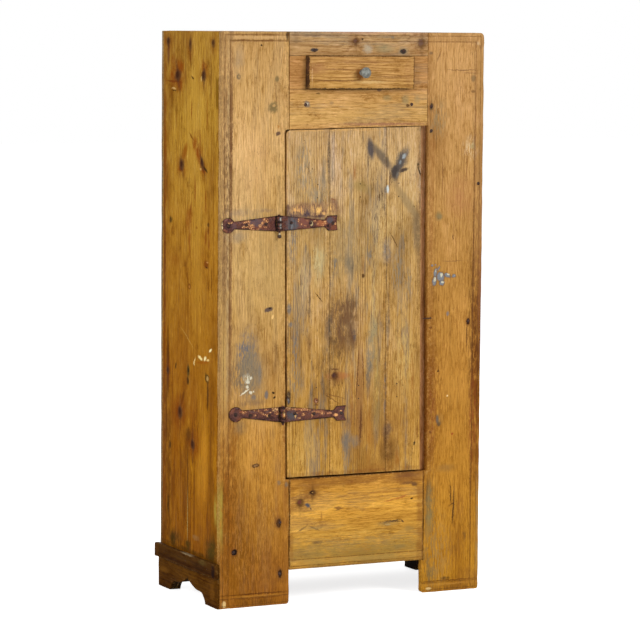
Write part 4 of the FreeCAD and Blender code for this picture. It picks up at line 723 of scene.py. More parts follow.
door_marks = placed([
    # where water and soot have greyed the wood
    (-108, 905, 30, 110, (206, 184, 132), 0.7, 1.45), (-150, 870, 30, 100, (200, 172, 116), 0.6, 1.45),
    (80, 1000, 60, 160, (212, 180, 122), 0.6, 1.45), (60, 800, 30, 260, (208, 176, 112), 0.6, 1.45),
    (150, 640, 60, 240, (210, 176, 104), 0.55, 1.45), (70, 560, 14, 200, (212, 178, 96), 0.6, 1.45),
    (60, 1180, 120, 140, (206, 172, 118), 0.5, 1.45), (150, 1160, 90, 120, (210, 176, 124), 0.45, 1.4),
    (60, 1040, 150, 60, (204, 170, 118), 0.4, 1.45), (170, 1100, 40, 160, (204, 176, 130), 0.45, 1.45),
    (-150, 1165, 50, 150, FADED, 0.7, 1.45), (-110, 1090, 70, 110, FADED, 0.6, 1.45),
    (-180, 960, 26, 120, BLUE_GREY, 0.7, 1.45), (-100, 915, 34, 100, (180, 168, 124), 0.5, 1.3),
    (-56, 905, 20, 56, BLUE_GREY, 0.85, 1.45), (-15, 905, 28, 52, (98, 92, 86), 0.75, 1.2),
    (45, 925, 16, 50, BLUE_GREY, 0.8, 1.45), (98, 938, 30, 66, (112, 118, 122), 0.65, 1.2),
    (130, 880, 34, 120, FADED, 0.7, 1.45), (165, 850, 24, 90, FADED, 0.65, 1.45),
    (-170, 690, 18, 150, BLUE_GREY, 0.8, 1.45), (-170, 600, 40, 90, FADED, 0.65, 1.45),
    (60, 705, 26, 120, (142, 136, 104), 0.55, 1.3), (45, 602, 16, 110, (84, 86, 82), 0.75, 1.2),
    (97, 560, 9, 160, BLUE_GREY, 0.8, 1.45), (105, 452, 30, 50, (74, 74, 72), 0.9, 1.1),
    (100, 430, 14, 60, (60, 50, 40), 0.8, 1.2), (-18, 432, 36, 50, (104, 108, 104), 0.85, 1.2),
    (10, 428, 30, 30, (112, 118, 112), 0.8, 1.1), (-20, 396, 20, 80, FADED, 0.7, 1.45),
    # brown from handling and rot
    (-34, 742, 96, 150, (108, 74, 46), 0.95, 1.2), (2, 738, 22, 130, (92, 60, 42), 0.9, 1.1),
    (-40, 760, 60, 120, (92, 74, 62), 0.7, 1.45), (-70, 740, 16, 60, (96, 92, 84), 0.8, 1.2),
    (5, 720, 12, 40, (84, 84, 86), 0.8, 1.2), (60, 470, 200, 250, (146, 98, 50), 0.45, 1.3),
    (-90, 640, 60, 60, (120, 84, 44), 0.6, 1.5), (-45, 606, 70, 20, (188, 112, 60), 0.6, 0.94),
    (-18, 792, 44, 30, (92, 62, 42), 0.8, 1.4), (-58, 702, 30, 26, (86, 64, 40), 0.8, 1.5),
    (-38, 672, 24, 54, (92, 62, 34), 0.85, 1.5), (-66, 650, 60, 110, (120, 92, 50), 0.5, 1.4),
    (21, 565, 24, 270, (138, 94, 54), 0.6, 0.94), (13, 600, 4, 150, (96, 58, 34), 0.8, 0.94, 3),
    (30, 620, 4, 130, (100, 60, 34), 0.75, 0.94, -3), (24, 470, 7, 110, (96, 58, 32), 0.85, 0.9, 2),
    (52, 660, 26, 130, (114, 112, 100), 0.7, 1.2), (75, 540, 34, 220, (136, 116, 70), 0.5, 1.3),
    (-3, 560, 9, 170, (146, 90, 44), 0.6, 1.1), (108, 392, 54, 80, (100, 64, 28), 0.8, 1.3),
    (136, 372, 16, 50, (150, 88, 22), 0.7, 1.2), (90, 352, 150, 34, (140, 90, 34), 0.6, 1.3),
    (180, 580, 10, 130, (146, 90, 36), 0.6, 1.2), (50, 420, 16, 150, (166, 110, 40), 0.6, 1.3),
    (-130, 700, 20, 56, (128, 92, 54), 0.6, 1.2), (0, 1150, 8, 50, (146, 92, 46), 0.8, 1.2),
    (28, 900, 10, 60, (140, 92, 48), 0.6, 1.2), (-130, 450, 40, 160, (202, 162, 96), 0.4, 1.3),
    band(194, 1120, 16, 300, (132, 92, 52), 0.6, 1.2), band(0, 345, 410, 12, (132, 82, 34), 0.6, 1.1),
    # band(-70, 1262, …) is a painted highlight along the door's top arris.
    band(-70, 1262, 270, 8, (214, 164, 96), 0.6),
    # a sooty scorch, a dark drip beside it and the shadow they leave
    (47, 1210, 22, 60, (66, 64, 70), 0.9, 0.9, -8), (82, 1188, 24, 100, (96, 84, 72), 0.85, 0.94, -42),
    (136, 1172, 32, 92, (78, 74, 72), 0.95, 0.9, 27), (120, 1146, 26, 44, (66, 58, 54), 0.95, 0.9, 16),
    (128, 1140, 8, 20, (110, 104, 96), 0.7, 0.9, 20), (148, 1153, 26, 10, (54, 44, 44), 0.9, 0.8, -14),
    (148, 1190, 10, 16, (158, 164, 164), 0.9, 0.9, 24), (136, 1174, 7, 12, (132, 138, 140), 0.8, 0.9, 24),
    (158, 1200, 12, 24, (96, 90, 88), 0.6, 1.2, 20), (105, 1128, 4, 52, DARK, 0.8, 0.8),
    (126, 1122, 18, 28, (90, 74, 62), 0.7, 1.2), (99, 1102, 8, 22, (196, 204, 202), 0.95, 0.7),
    (92, 1098, 8, 20, (104, 100, 96), 0.7, 0.9), (158, 1066, 24, 130, (146, 122, 84), 0.7, 0.94, -38),
    (189, 985, 28, 130, (118, 96, 68), 0.8, 0.94, -6), (194, 890, 16, 110, (136, 104, 66), 0.6, 1.2),
    (-10, 930, 120, 190, (146, 126, 92), 0.35, 1.4), (-20, 935, 100, 150, (132, 114, 82), 0.45, 1.3),
    (-20, 780, 110, 90, (120, 88, 56), 0.4, 1.45), (-150, 410, 70, 100, (206, 166, 88), 0.45, 1.4),
    (150, 470, 100, 230, (150, 104, 46), 0.4, 1.4), (-30, 748, 110, 170, (120, 86, 52), 0.4, 1.45),
    # band(-199, 800, …) is partly wear and partly a painted highlight along the door's left arris.
    band(-199, 800, 3, 880, (226, 176, 100), 0.7), (20, 1112, 60, 30, (150, 126, 72), 0.6, 1.3, 20),
    # splits, scratches and small dark spots
    (75, 1084, 4, 26, DARK, 0.85, 0.7), (82, 1090, 3, 22, DARK, 0.8, 0.7), (68, 1080, 3, 16, BROWN, 0.8, 0.8),
    (190, 1163, 5, 26, BLACK, 0.95, 0.6, -3), (195, 1146, 5, 22, BLACK, 0.95, 0.6, -24),
    (-103, 818, 36, 3, DARK, 0.9, 0.6, 50), (119, 966, 50, 3, DARK, 0.85, 0.6, 60),
    (-77, 1190, 4, 150, (86, 74, 64), 0.75, 0.9), (28, 872, 9, 13, DARK, 0.9, 0.7),
    (-190, 553, 13, 40, (36, 32, 34), 0.95, 0.6), (-190, 546, 6, 14, (92, 100, 112), 0.85, 0.8),
    (-190, 790, 14, 30, BLUE_GREY, 0.8, 0.9), (-186, 748, 14, 14, BLUE_GREY, 0.7, 0.9),
    (-109, 543, 16, 16, (112, 62, 38), 0.9, 0.5), (-109, 542, 7, 8, (184, 138, 104), 0.85, 0.6),
    (-108, 532, 12, 5, (96, 56, 34), 0.8, 0.7), (-62, 545, 56, 3, (104, 66, 36), 0.8, 0.7, 32),
    (-52, 552, 70, 3, (120, 76, 40), 0.7, 0.8, 16), (187, 413, 7, 13, BLACK, 0.9, 0.6, 14),
    (195, 446, 5, 60, BROWN, 0.7, 1.0), (130, 600, 3, 170, (120, 84, 46), 0.7, 1.0),
    (110, 1015, 3, 150, (122, 88, 52), 0.6, 1.0), (-34, 1000, 3, 220, (128, 96, 58), 0.6, 1.0),
    # old paint left from a wider hinge
    (-130, 1048, 170, 44, (150, 108, 74), 0.8, 1.2), (-130, 1048, 160, 44, (98, 66, 64), 0.85, 1.3),
    (-182, 1044, 44, 34, (74, 60, 66), 0.95, 1.3), (-145, 1042, 40, 26, (72, 62, 70), 0.95, 1.3),
    (-62, 1066, 28, 34, (100, 64, 58), 0.9, 1.3), (-196, 1060, 10, 14, (104, 74, 62), 0.9, 0.9),
    (-108, 1034, 40, 8, (80, 56, 56), 0.9, 0.94), (-112, 1052, 40, 28, (228, 178, 104), 0.95, 1.45),
    (-165, 1050, 44, 26, (222, 168, 100), 0.95, 1.45), (-72, 1052, 34, 34, (222, 174, 106), 0.95, 1.45),
    (-106, 1050, 15, 17, (234, 184, 108), 0.95, 0.94), (-90, 1041, 11, 9, (220, 170, 104), 0.9, 0.9),
    (-175, 1052, 9, 11, (226, 172, 100), 0.9, 0.9), (-76, 1052, 7, 18, (214, 170, 104), 0.85, 0.9),
    (-64, 1078, 18, 5, (130, 80, 56), 0.8, 0.9),
]) + knot(-55, 606, 20, 19, 0.9, (66, 38, 36), halo=(126, 84, 50)) + placed([
    (-55, 624, 28, 5, (96, 60, 36), 0.8, 0.8, 8),
])


door_pine = wood("door_pine", Wood(
    DOOR_TONES, seed=3.3, pith=(-0.7, -0.3), ring=0.0062, rings=0.55, late=(0.4, 0.34, 0.28), streak=0.8,
    streak_tint=(0.54, 0.51, 0.44), pale_tint=(1.16, 1.25, 1.75), weather=0.5, weather_colour=(118, 116, 108),
    cracks=0.8, mottle=0.7, mottle_tint=(0.56, 0.50, 0.42), tone=0.8, dirt=0.7, rough=0.72, bump=0.7,
    marks=door_marks))

# ---------------------------------------------------------------- the sides' wood

# The near-black tones below about 100 mm are painted shade, where the board's low inner part is seen in shadow
# through the foot's arch.
SIDE_TONES = [(0, (30, 16, 4)), (96, (34, 18, 4)), (108, (144, 86, 4)), (130, (154, 93, 4)),
              (420, (170, 110, 8)), (620, (170, 112, 18)), (900, (176, 121, 30)), (1300, (188, 142, 46)),
              (1500, (182, 136, 48))]
SIDE_MIDDLE = 18  # in y


def on_side(marks):
    """Turn places noted from the side's middle towards the front into y."""
    for mark in marks:
        mark.across = SIDE_MIDDLE - mark.across
    return marks


ORANGE_BROWN = (124, 58, 0)


def side_knot(across, level, width, height, depth, turn=0):
    """A knot on the resinous side board, with its rusty halo."""
    return knot(across, level, width, height, depth, (58, 28, 6), turn, halo=ORANGE_BROWN)


side_marks = on_side(
    placed([
        # long bands of darker grain and the dirt along the edges
        band(-174, 800, 16, 1420, (122, 60, 0), 0.85), band(-177, 860, 9, 1240, (108, 50, 0), 0.8, 0.9),
        band(-167, 1000, 20, 1000, (138, 80, 10), 0.55, 1.2),
        band(190, 760, 7, 1480, (98, 66, 12), 0.75, 1.1), (-118, 1445, 26, 40, (146, 84, 10), 0.8, 1.3),
        (-70, 1340, 40, 40, (156, 96, 16), 0.6, 1.4), (-8, 1470, 30, 60, (130, 86, 16), 0.6, 1.3),
        (90, 930, 40, 60, (150, 88, 10), 0.5, 1.4), (98, 385, 44, 240, (204, 140, 40), 0.6, 1.2),
        (60, 330, 26, 150, (196, 132, 34), 0.5, 1.2), (-62, 270, 22, 150, (186, 124, 30), 0.5, 1.2),
        (-118, 545, 9, 240, (112, 60, 2), 0.75, 0.94), (-38, 240, 9, 180, (104, 56, 2), 0.75, 0.94),
        (32, 290, 7, 210, (112, 62, 2), 0.7, 0.94), (118, 230, 9, 130, (104, 56, 2), 0.75, 0.94),
        (140, 480, 10, 220, (108, 58, 2), 0.75, 0.94), (-160, 1130, 18, 140, (112, 58, 4), 0.75, 1.0),
        (-172, 900, 14, 300, (100, 50, 2), 0.7, 1.1), band(-190, 1100, 6, 800, (138, 136, 96), 0.6, 1.1),
        band(187, 800, 12, 1400, (134, 84, 12), 0.75), (186, 800, 18, 300, (112, 66, 4), 0.7, 1.0),
        (-135, 330, 26, 420, (96, 54, 0), 0.75, 1.0), (-150, 1000, 30, 500, (150, 96, 18), 0.5, 1.2),
        (140, 340, 18, 190, (112, 64, 2), 0.85, 1.1), (150, 560, 60, 700, (138, 86, 8), 0.5, 1.2),
        (128, 1390, 20, 120, (116, 72, 12), 0.85, 1.1), (-135, 1325, 30, 130, (122, 72, 6), 0.7, 1.0),
        (-20, 700, 8, 380, (134, 82, 8), 0.6, 1.1), (40, 1000, 60, 500, (184, 136, 44), 0.5, 1.2),
        (30, 1320, 130, 190, (198, 152, 58), 0.5, 1.2), (80, 300, 60, 260, (186, 122, 26), 0.5, 1.2),
        # rusty streaks
        (-118, 1440, 40, 20, ORANGE_BROWN, 0.95, 1.0), (-66, 1424, 34, 30, (140, 76, 6), 0.85, 1.2),
        (-70, 1372, 30, 26, (140, 72, 4), 0.95, 1.0), (-120, 1400, 40, 26, (140, 72, 4), 0.95, 1.0),
        (86, 1428, 26, 26, (140, 70, 4), 0.95, 1.0), (24, 1222, 24, 40, (140, 68, 4), 0.95, 1.0),
        (50, 1200, 44, 34, (140, 68, 4), 0.95, 1.0), (62, 1180, 20, 40, (136, 68, 6), 0.95, 1.0, -20),
        (84, 1152, 40, 14, (150, 80, 10), 0.95, 1.0, 14), (-62, 1150, 44, 14, (140, 72, 6), 0.95, 1.0),
        (-12, 1020, 34, 44, (136, 68, 6), 0.95, 1.0), (0, 1046, 8, 40, (128, 62, 6), 0.95, 0.9, 14),
        (-8, 975, 16, 50, (134, 70, 8), 0.95, 1.0), (118, 996, 14, 20, (112, 56, 6), 0.85, 0.94),
        (100, 975, 12, 40, (128, 66, 8), 0.8, 0.94), (122, 960, 12, 30, (128, 66, 8), 0.75, 0.94),
        (95, 1050, 30, 30, (138, 76, 10), 0.6, 1.45), (150, 980, 8, 160, (130, 78, 16), 0.6, 1.0),
        (-110, 905, 90, 40, (150, 92, 20), 0.5, 1.2), (-60, 590, 200, 300, (150, 90, 14), 0.5, 1.2),
        (20, 520, 60, 120, (138, 76, 8), 0.55, 1.2), (-100, 420, 70, 200, (146, 84, 6), 0.55, 1.2),
        (45, 425, 60, 90, (140, 76, 6), 0.6, 1.2), (165, 200, 60, 300, (112, 68, 10), 0.5, 1.2),
        (5, 1310, 6, 60, ORANGE_BROWN, 0.8, 0.9), (107, 1300, 6, 120, ORANGE_BROWN, 0.8, 0.9),
        (62, 1230, 7, 70, ORANGE_BROWN, 0.7, 0.9), (30, 1100, 9, 80, ORANGE_BROWN, 0.75, 0.9),
        (100, 1075, 8, 70, ORANGE_BROWN, 0.75, 0.9), (140, 860, 6, 70, (104, 56, 4), 0.8, 0.9),
        (-8, 1010, 44, 90, (150, 86, 10), 0.85, 1.0), (2, 1030, 26, 40, (120, 60, 2), 0.8, 1.4),
        (-6, 950, 12, 70, (140, 80, 8), 0.7, 0.9), (114, 985, 34, 70, (140, 78, 8), 0.8, 1.4),
        (-110, 250, 30, 120, (120, 66, 0), 0.6, 1.0), (70, 250, 80, 60, (126, 72, 0), 0.65, 1.45),
        (-60, 640, 12, 60, (120, 70, 4), 0.6, 1.0), (30, 580, 50, 70, (132, 76, 6), 0.6, 1.45),
        (40, 1230, 50, 60, (136, 70, 4), 0.75, 1.4), (5, 1240, 34, 8, (112, 56, 0), 0.8, 0.9, 35),
        # knots' halos and tails
        (-92, 1400, 100, 70, (138, 72, 4), 0.8, 1.0), (-85, 1430, 50, 40, (150, 84, 8), 0.7, 1.4),
        (-110, 1384, 110, 6, (110, 50, 2), 0.85, 0.8, 2), (84, 1424, 34, 30, (146, 80, 6), 0.85, 1.0),
        (-38, 1200, 24, 50, (140, 76, 0), 0.8, 0.94, 30), (-80, 495, 90, 90, (128, 68, 2), 0.75, 1.0),
        (-48, 535, 14, 56, (96, 50, 0), 0.85, 0.9, 25), (4, 428, 72, 74, (116, 62, 2), 0.85, 1.0),
        (-152, 1460, 20, 70, (104, 56, 18), 0.85, 0.9), (-4, 1455, 12, 40, (128, 76, 14), 0.8, 0.9),
        (-150, 615, 22, 190, (90, 45, 0), 0.9, 0.9), (-162, 470, 12, 200, (98, 50, 0), 0.75, 0.94),
        (118, 560, 14, 90, (84, 48, 4), 0.9, 0.8),
    ]) + each(side_knot, [
        (-88, 1400, 38, 28, 1.0, -18), (84, 1402, 26, 28, 1.0), (-60, 1162, 30, 24, 0.95, -20),
        (76, 1172, 20, 32, 0.95, -30), (-152, 1490, 26, 24, 0.85), (-5, 1484, 18, 30, 0.75),
        (146, 1488, 22, 20, 0.75), (-65, 495, 30, 28, 1.0), (20, 416, 24, 26, 1.0), (-150, 600, 16, 20, 1.0),
    ]) + placed([
        (-8, 440, 40, 34, (84, 48, 2), 0.7, 0.94), (98, 1156, 30, 10, (40, 20, 0), 0.9, 0.8, 28),
        (68, 1394, 8, 16, (214, 176, 100), 0.85, 0.8), (66, 1156, 14, 7, (206, 168, 96), 0.8, 0.8),
        (-136, 1011, 11, 20, (52, 32, 4), 0.9, 0.6), (-126, 1011, 7, 16, (30, 18, 0), 0.9, 0.6),
        (-120, 990, 12, 9, (140, 84, 16), 0.7, 0.7), (118, 1012, 16, 14, (76, 42, 2), 0.85, 0.7),
        (42, 1000, 11, 9, (134, 76, 10), 0.8, 0.7), (105, 906, 32, 24, (118, 58, 2), 0.9, 0.94),
        (108, 898, 20, 5, (56, 28, 0), 0.9, 0.7, 10), (112, 912, 14, 5, (196, 140, 70), 0.8, 0.7),
        (-6, 840, 20, 17, (112, 60, 4), 0.85, 0.7), (-6, 839, 9, 7, (186, 126, 50), 0.8, 0.7),
        (-18, 862, 6, 36, (120, 66, 0), 0.8, 0.8, -20), (-96, 618, 9, 22, (64, 38, 0), 0.9, 0.8, 20),
        (-12, 612, 20, 36, (70, 54, 10), 0.9, 0.8), (-11, 614, 8, 12, (30, 20, 0), 0.95, 0.7),
        (-15, 585, 18, 22, (44, 28, 0), 0.9, 0.8), (113, 606, 30, 26, (74, 50, 8), 0.9, 0.6),
        (116, 604, 16, 13, (190, 150, 84), 0.85, 0.7), band(174, 1358, 24, 78, (120, 82, 8), 0.85, 0.3),
        (12, 1396, 22, 5, (80, 46, 4), 0.9, 0.7, 25), (-115, 1366, 30, 5, (204, 166, 100), 0.85, 0.8),
        (-112, 1360, 30, 3, (40, 24, 0), 0.9, 0.6), (204, 548, 8, 12, BLACK, 0.8, 0.6),
        # bright scratches
        (88, 644, 100, 9, (148, 78, 6), 0.8, 1.0, -6), (68, 655, 30, 9, (246, 222, 150), 0.95, 0.94, 12),
        (100, 656, 18, 11, (250, 232, 168), 0.95, 0.94, -30),
        (118, 653, 20, 6, (240, 206, 130), 0.9, 0.9, -8), (135, 681, 20, 7, (250, 236, 176), 0.95, 0.8, -28),
        (31, 643, 5, 24, (236, 204, 130), 0.9, 0.8, 26), (27, 636, 5, 14, (236, 204, 130), 0.9, 0.8, -30),
        (-20, 702, 100, 2.5, (200, 160, 80), 0.7, 0.8, 30),
        # a seam, and grime above the foot
        (-12, 290, 7, 300, (70, 40, 0), 0.9, 0.8), (-13, 220, 3.5, 150, (196, 170, 100), 0.75, 0.9),
        (-134, 398, 12, 22, (40, 28, 0), 0.8, 0.9), (-146, 232, 14, 60, (52, 34, 0), 0.8, 1.0),
        band(-188, 300, 6, 340, (48, 34, 2), 0.8, 1.1), (-160, 430, 50, 320, (100, 56, 6), 0.7, 1.2),
        (-22, 330, 34, 220, (116, 66, 8), 0.7, 1.0), (-28, 600, 26, 220, (124, 72, 10), 0.6, 1.0),
        (-60, 350, 12, 90, (110, 58, 4), 0.7, 0.94), (-105, 330, 12, 130, (110, 58, 4), 0.7, 0.94),
        (155, 380, 16, 180, (116, 66, 10), 0.7, 1.0), (-100, 148, 90, 44, (70, 46, 10), 0.8, 1.2),
        (146, 150, 90, 80, (62, 48, 14), 0.85, 1.2), (-100, 142, 70, 30, (64, 44, 0), 0.85, 1.0),
        (-8, 142, 50, 30, (66, 48, 4), 0.85, 1.0), (142, 150, 60, 50, (70, 56, 6), 0.9, 1.0),
        (45, 168, 44, 14, (150, 128, 88), 0.6, 1.0), (172, 260, 22, 80, (176, 152, 60), 0.7, 1.0),
        band(0, 126, 400, 14, (70, 44, 0), 0.75), (-170, 180, 40, 120, (96, 56, 0), 0.6, 1.2),
    ]))


def side_wood(name, at, seed, pith, marks):
    return wood(name, Wood(
        SIDE_TONES, face="side", at=at, seed=seed, pith=pith, ring=0.009, streak=1.0, mottle=0.9, tone=0.8,
        streak_tint=(0.54, 0.40, 0.22), pale_tint=(1.2, 1.32, 1.9), mottle_tint=(0.60, 0.48, 0.34),
        cracks=0.6, dirt=0.7, gloss=0.04, marks=marks))


left_side_wood = side_wood("left_side_pine", SIDE_X, 11.2, (-0.30, 0.9), side_marks)
right_side_wood = side_wood("right_side_pine", -SIDE_X, 14.9, (0.28, -0.7), each(knot, [
    (60, 1290, 26, 24), (-80, 1050, 24, 22), (90, 700, 28, 26), (-30, 380, 30, 26)]))
dark_wood = wood("dark_foot_pine", Wood(
    [(0, (84, 48, 4)), (78, (94, 58, 8)), (84, (64, 34, 2)), (120, (82, 50, 8))], grain="Y", face="side",
    through=FAR, seed=17.4, pith=(0.16, -0.30), streak=0.8, wear=0.1, gloss=0.02, marks=on_side(placed([
        (-20, 102, 160, 14, (92, 62, 24), 0.5, 1.2), (90, 98, 70, 22, (34, 20, 10), 0.6, 1.3),
        # (183, 100) is painted shade at the batten's front end and in the gap before the stile.
        (183, 100, 22, 40, (26, 14, 16), 0.9, 1.1), (-196, 100, 30, 30, (100, 62, 22), 0.5, 1.3),
        # (10, 119) is partly wear on the batten's rounded top arris and partly a painted highlight.
        (10, 119, 80, 6, (160, 142, 110), 0.7, 1.1), (115, 112, 50, 14, (100, 88, 44), 0.6, 1.2),
        (165, 40, 30, 60, (130, 82, 22), 0.6, 1.2), (-160, 50, 60, 16, (134, 88, 26), 0.5, 1.2),
        # (0, 80) is painted shade along the underside of the batten.
        (0, 80, 420, 5, (38, 22, 8), 0.9, 0.6),
    ]))))
# The near-black tones below about 90 mm are painted shade, where the cleats are seen in shadow under the
# apron.
INSIDE_TONES = [(0, (50, 30, 12)), (88, (56, 34, 14)), (104, (130, 90, 48)), (340, (146, 104, 58)),
                (1520, (164, 120, 70))]
inside_wood = wood("inside_pine", Wood(
    INSIDE_TONES, seed=20.7, pith=(0.1, 0.3), streak=0.4, mottle=0.7, rough=0.75))
inside_board_wood = wood("inside_board_pine", Wood(
    [(0, (120, 80, 40)), (340, (150, 108, 60)), (1520, (166, 122, 72))], grain="X", seed=23.1,
    pith=(0.5, 0.35), streak=0.4, mottle=0.7, rough=0.75))
# The stop's tones are painted lighter than its wood: painted light for the shaded gap beside the door.
stop_wood_painted_light = wood("door_stop_pine_painted_light", Wood(
    [(340, (210, 152, 98)), (1400, (218, 168, 120))], seed=24.9, pith=(0.3, 0.0), rings=0.4, streak=0.5,
    mottle=0.7, rough=0.75))
back_wood = wood("back_pine", Wood(
    [(0, (122, 98, 66)), (500, (142, 116, 80)), (1520, (152, 128, 94))], at=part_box("back_plank_1")[1].y,
    seed=26.0, pith=(-0.9, 0.32), rings=0.6, weather=0.6, weather_colour=(120, 118, 112), cracks=0.8,
    rough=0.8, bump=0.6, marks=each(knot, [
        (-300, 420, 26, 24), (-330, 1180, 20, 22), (-80, 900, 24, 28), (-140, 300, 18, 18),
        (60, 1330, 26, 24), (130, 560, 22, 24), (290, 980, 26, 30), (330, 250, 18, 20)])))


# ---------------------------------------------------------------- iron and knob materials

LIGHT_RUST = (232, 180, 118)
IRON_GREY = (88, 94, 98)


def flakes(places, size=8):
    """Small chips of old cream paint and light rust at the places (x, z), each of its own size."""
    return [Mark(across, level, size * (1.3 + 0.5 * math.sin(across)), size * (0.9 + 0.4 * math.cos(level)),
                 LIGHT_RUST, 0.95, 1.1) for across, level in places]


hinge_marks = placed([
    # upper hinge: the leaf on the frame, from its round end to its barrel
    (-370, 1014, 30, 30, (72, 46, 48), 0.8, 0.9), (-380, 1000, 16, 10, (150, 112, 84), 0.8, 1.05, 30),
    (-352, 1012, 16, 20, (106, 80, 80), 0.7, 0.9), (-379, 1031, 18, 9, (156, 106, 94), 0.8, 0.9),
    (-389, 1022, 8, 15, (240, 214, 156), 0.95, 0.5), (-388, 1006, 8, 15, (240, 214, 156), 0.95, 0.5),
    (-369, 1014, 13, 13, (30, 20, 22), 0.9, 0.5), (-369, 1016, 5, 4, (120, 96, 90), 0.8, 0.5),
    (-292, 1022, 46, 26, (96, 82, 86), 0.75, 0.9), (-282, 1008, 50, 8, (120, 68, 50), 0.6, 0.9),
    (-242, 1016, 18, 36, (78, 42, 38), 0.7, 0.9),
]) + flakes([(-323, 1021), (-318, 1013), (-312, 1009), (-305, 1005), (-298, 1002), (-325, 1009), (-313, 1024),
             (-309, 1016), (-268, 1034), (-262, 1029), (-258, 1023), (-270, 1019), (-277, 1012), (-284, 1003),
             (-264, 1009), (-300, 1012), (-363, 1021)]) + placed([
    # On the upper barrel: (-232, 1017) and the three dark bands are painted shade beside it and in the gaps
    # between its knuckles; the two narrow pale streaks on its grey and the pale spot on its finial are painted
    # highlights.
    (-232, 1017, 5, 46, (28, 18, 18), 0.9, 0.6), (-222, 1028, 11, 13, (104, 102, 100), 0.95, 0.6),
    (-223, 1028, 4, 11, (186, 182, 170), 0.9, 0.6), (-222, 1011, 11, 13, (98, 96, 94), 0.95, 0.6),
    (-223, 1011, 4, 11, (170, 166, 156), 0.9, 0.6), band(-222, 1037, 22, 4, (26, 18, 18), 0.95, 0.5),
    band(-222, 1020, 22, 4, (26, 18, 18), 0.95, 0.5), band(-222, 1002, 22, 4, (26, 18, 18), 0.95, 0.5),
    (-222, 986, 16, 16, (70, 58, 48), 0.95, 0.6), (-223, 990, 7, 5, (206, 192, 160), 0.95, 0.6),
    # the leaf on the door
    (-184, 1014, 34, 44, IRON_GREY, 0.9, 0.85), (-191, 1014, 3, 36, (50, 52, 56), 0.8, 0.6),
    (-178, 1016, 3, 30, (60, 60, 62), 0.7, 0.6), (-185, 1010, 3, 26, (122, 128, 132), 0.7, 0.6),
    (-150, 1018, 34, 26, (134, 84, 70), 0.8, 0.9), (-128, 1015, 13, 19, (60, 44, 42), 0.9, 0.5),
    (-128, 1015, 9, 13, (196, 172, 124), 0.9, 0.6), (-99, 1015, 30, 16, (178, 106, 66), 0.75, 0.9),
    (-73, 1023, 22, 18, (84, 84, 90), 0.85, 0.9), (-62, 1003, 18, 14, (128, 72, 48), 0.8, 0.9),
    (-79, 1008, 8, 8, (28, 18, 18), 0.8, 0.6),
]) + flakes([(-165, 1024), (-158, 1014), (-146, 1009), (-119, 1022), (-110, 1014), (-101, 1020), (-95, 1011),
             (-88, 1018), (-57, 1013), (-140, 1022)], size=7) + placed([
    # lower hinge: the leaf on the frame
    (-345, 516, 32, 32, (72, 46, 42), 0.8, 0.9), (-356, 526, 16, 12, (112, 82, 78), 0.8, 1.05, -40),
    (-334, 504, 14, 12, (60, 42, 44), 0.85, 1.05, 30), (-326, 524, 18, 9, (150, 92, 66), 0.8, 1.05),
    (-345, 516, 20, 20, (118, 80, 70), 0.6, 0.9), (-345, 516, 11, 11, (28, 18, 16), 0.9, 0.5),
    (-300, 510, 40, 18, (92, 58, 50), 0.7, 0.9), (-252, 502, 60, 10, (52, 34, 34), 0.8, 0.9),
]) + flakes([(-304, 528), (-289, 527), (-278, 523), (-270, 518), (-262, 513), (-251, 510), (-257, 525),
             (-290, 512), (-246, 518), (-320, 520)]) + placed([
    (-230, 526, 20, 14, (240, 200, 132), 0.95, 1.05), (-226, 514, 12, 10, (232, 176, 104), 0.95, 1.05),
    # On the lower barrel: the dark band at its left and the two at its ends are painted shade, and the narrow
    # pale streak (-208, 514) is a painted highlight.
    band(-219, 514, 4, 44, (26, 16, 14), 0.9, 0.5), (-208, 512, 9, 24, (206, 140, 72), 0.95, 0.7),
    (-208, 514, 4, 14, (240, 208, 150), 0.9, 0.6), band(-208, 528, 18, 4, (34, 22, 20), 0.9, 0.5),
    band(-208, 499, 18, 4, (34, 22, 20), 0.9, 0.5), (-214, 490, 16, 12, (34, 22, 20), 0.9, 0.6),
    # and the leaf on the door
    (-192, 527, 20, 11, (242, 200, 128), 0.95, 1.05), (-182, 506, 34, 26, (80, 82, 86), 0.9, 0.9),
    (-172, 505, 5, 14, (222, 176, 108), 0.9, 0.6), (-130, 503, 70, 12, (104, 66, 56), 0.6, 0.9),
    (-150, 523, 60, 7, (198, 132, 78), 0.8, 1.1), (-100, 514, 40, 10, (150, 96, 70), 0.7, 1.0),
    (-34, 506, 26, 30, (84, 60, 60), 0.7, 0.9), (-52, 502, 13, 7, (232, 168, 106), 0.95, 0.7),
    (-72, 508, 16, 6, (206, 140, 98), 0.8, 0.9),
]) + flakes([(-165, 513), (-152, 521), (-144, 522), (-136, 519), (-128, 522), (-118, 512), (-106, 512),
             (-160, 499), (-38, 512), (-92, 509), (-174, 523), (-112, 520), (-148, 508), (-122, 503)], size=7)
rusty_iron = iron("rusty_iron", Iron(
    [(0.3, (70, 44, 42)), (0.45, (98, 60, 52)), (0.58, (122, 74, 56)), (0.7, (92, 72, 74))], hinge_marks,
    rust=0.6))
nail_iron = iron("nail_iron", Iron(
    [(0.35, (46, 36, 32)), (0.55, (64, 50, 44)), (0.7, (78, 68, 62))], rust=0.8))


def knob_metal():
    shader = Shader("knob_metal")
    dull = shader.noise(shader.place, 120, 4, 0.6)
    fine = shader.noise(shader.place, 600, 3, 0.7)
    colour = shader.ramp(dull, [(0.3, rgb(88, 88, 82)), (0.5, rgb(122, 124, 118)), (0.7, rgb(150, 152, 146))])
    colour = shader.mix(shader.span(fine, 0.55, 0.7, 0.0, 0.5), colour, rgb(92, 84, 74))
    return shader.finish(colour, shader.span(dull, 0.3, 0.7, 0.42, 0.6), fine, 0.25, 0.0004, metallic=0.35)


# ---------------------------------------------------------------- dressing the nodes

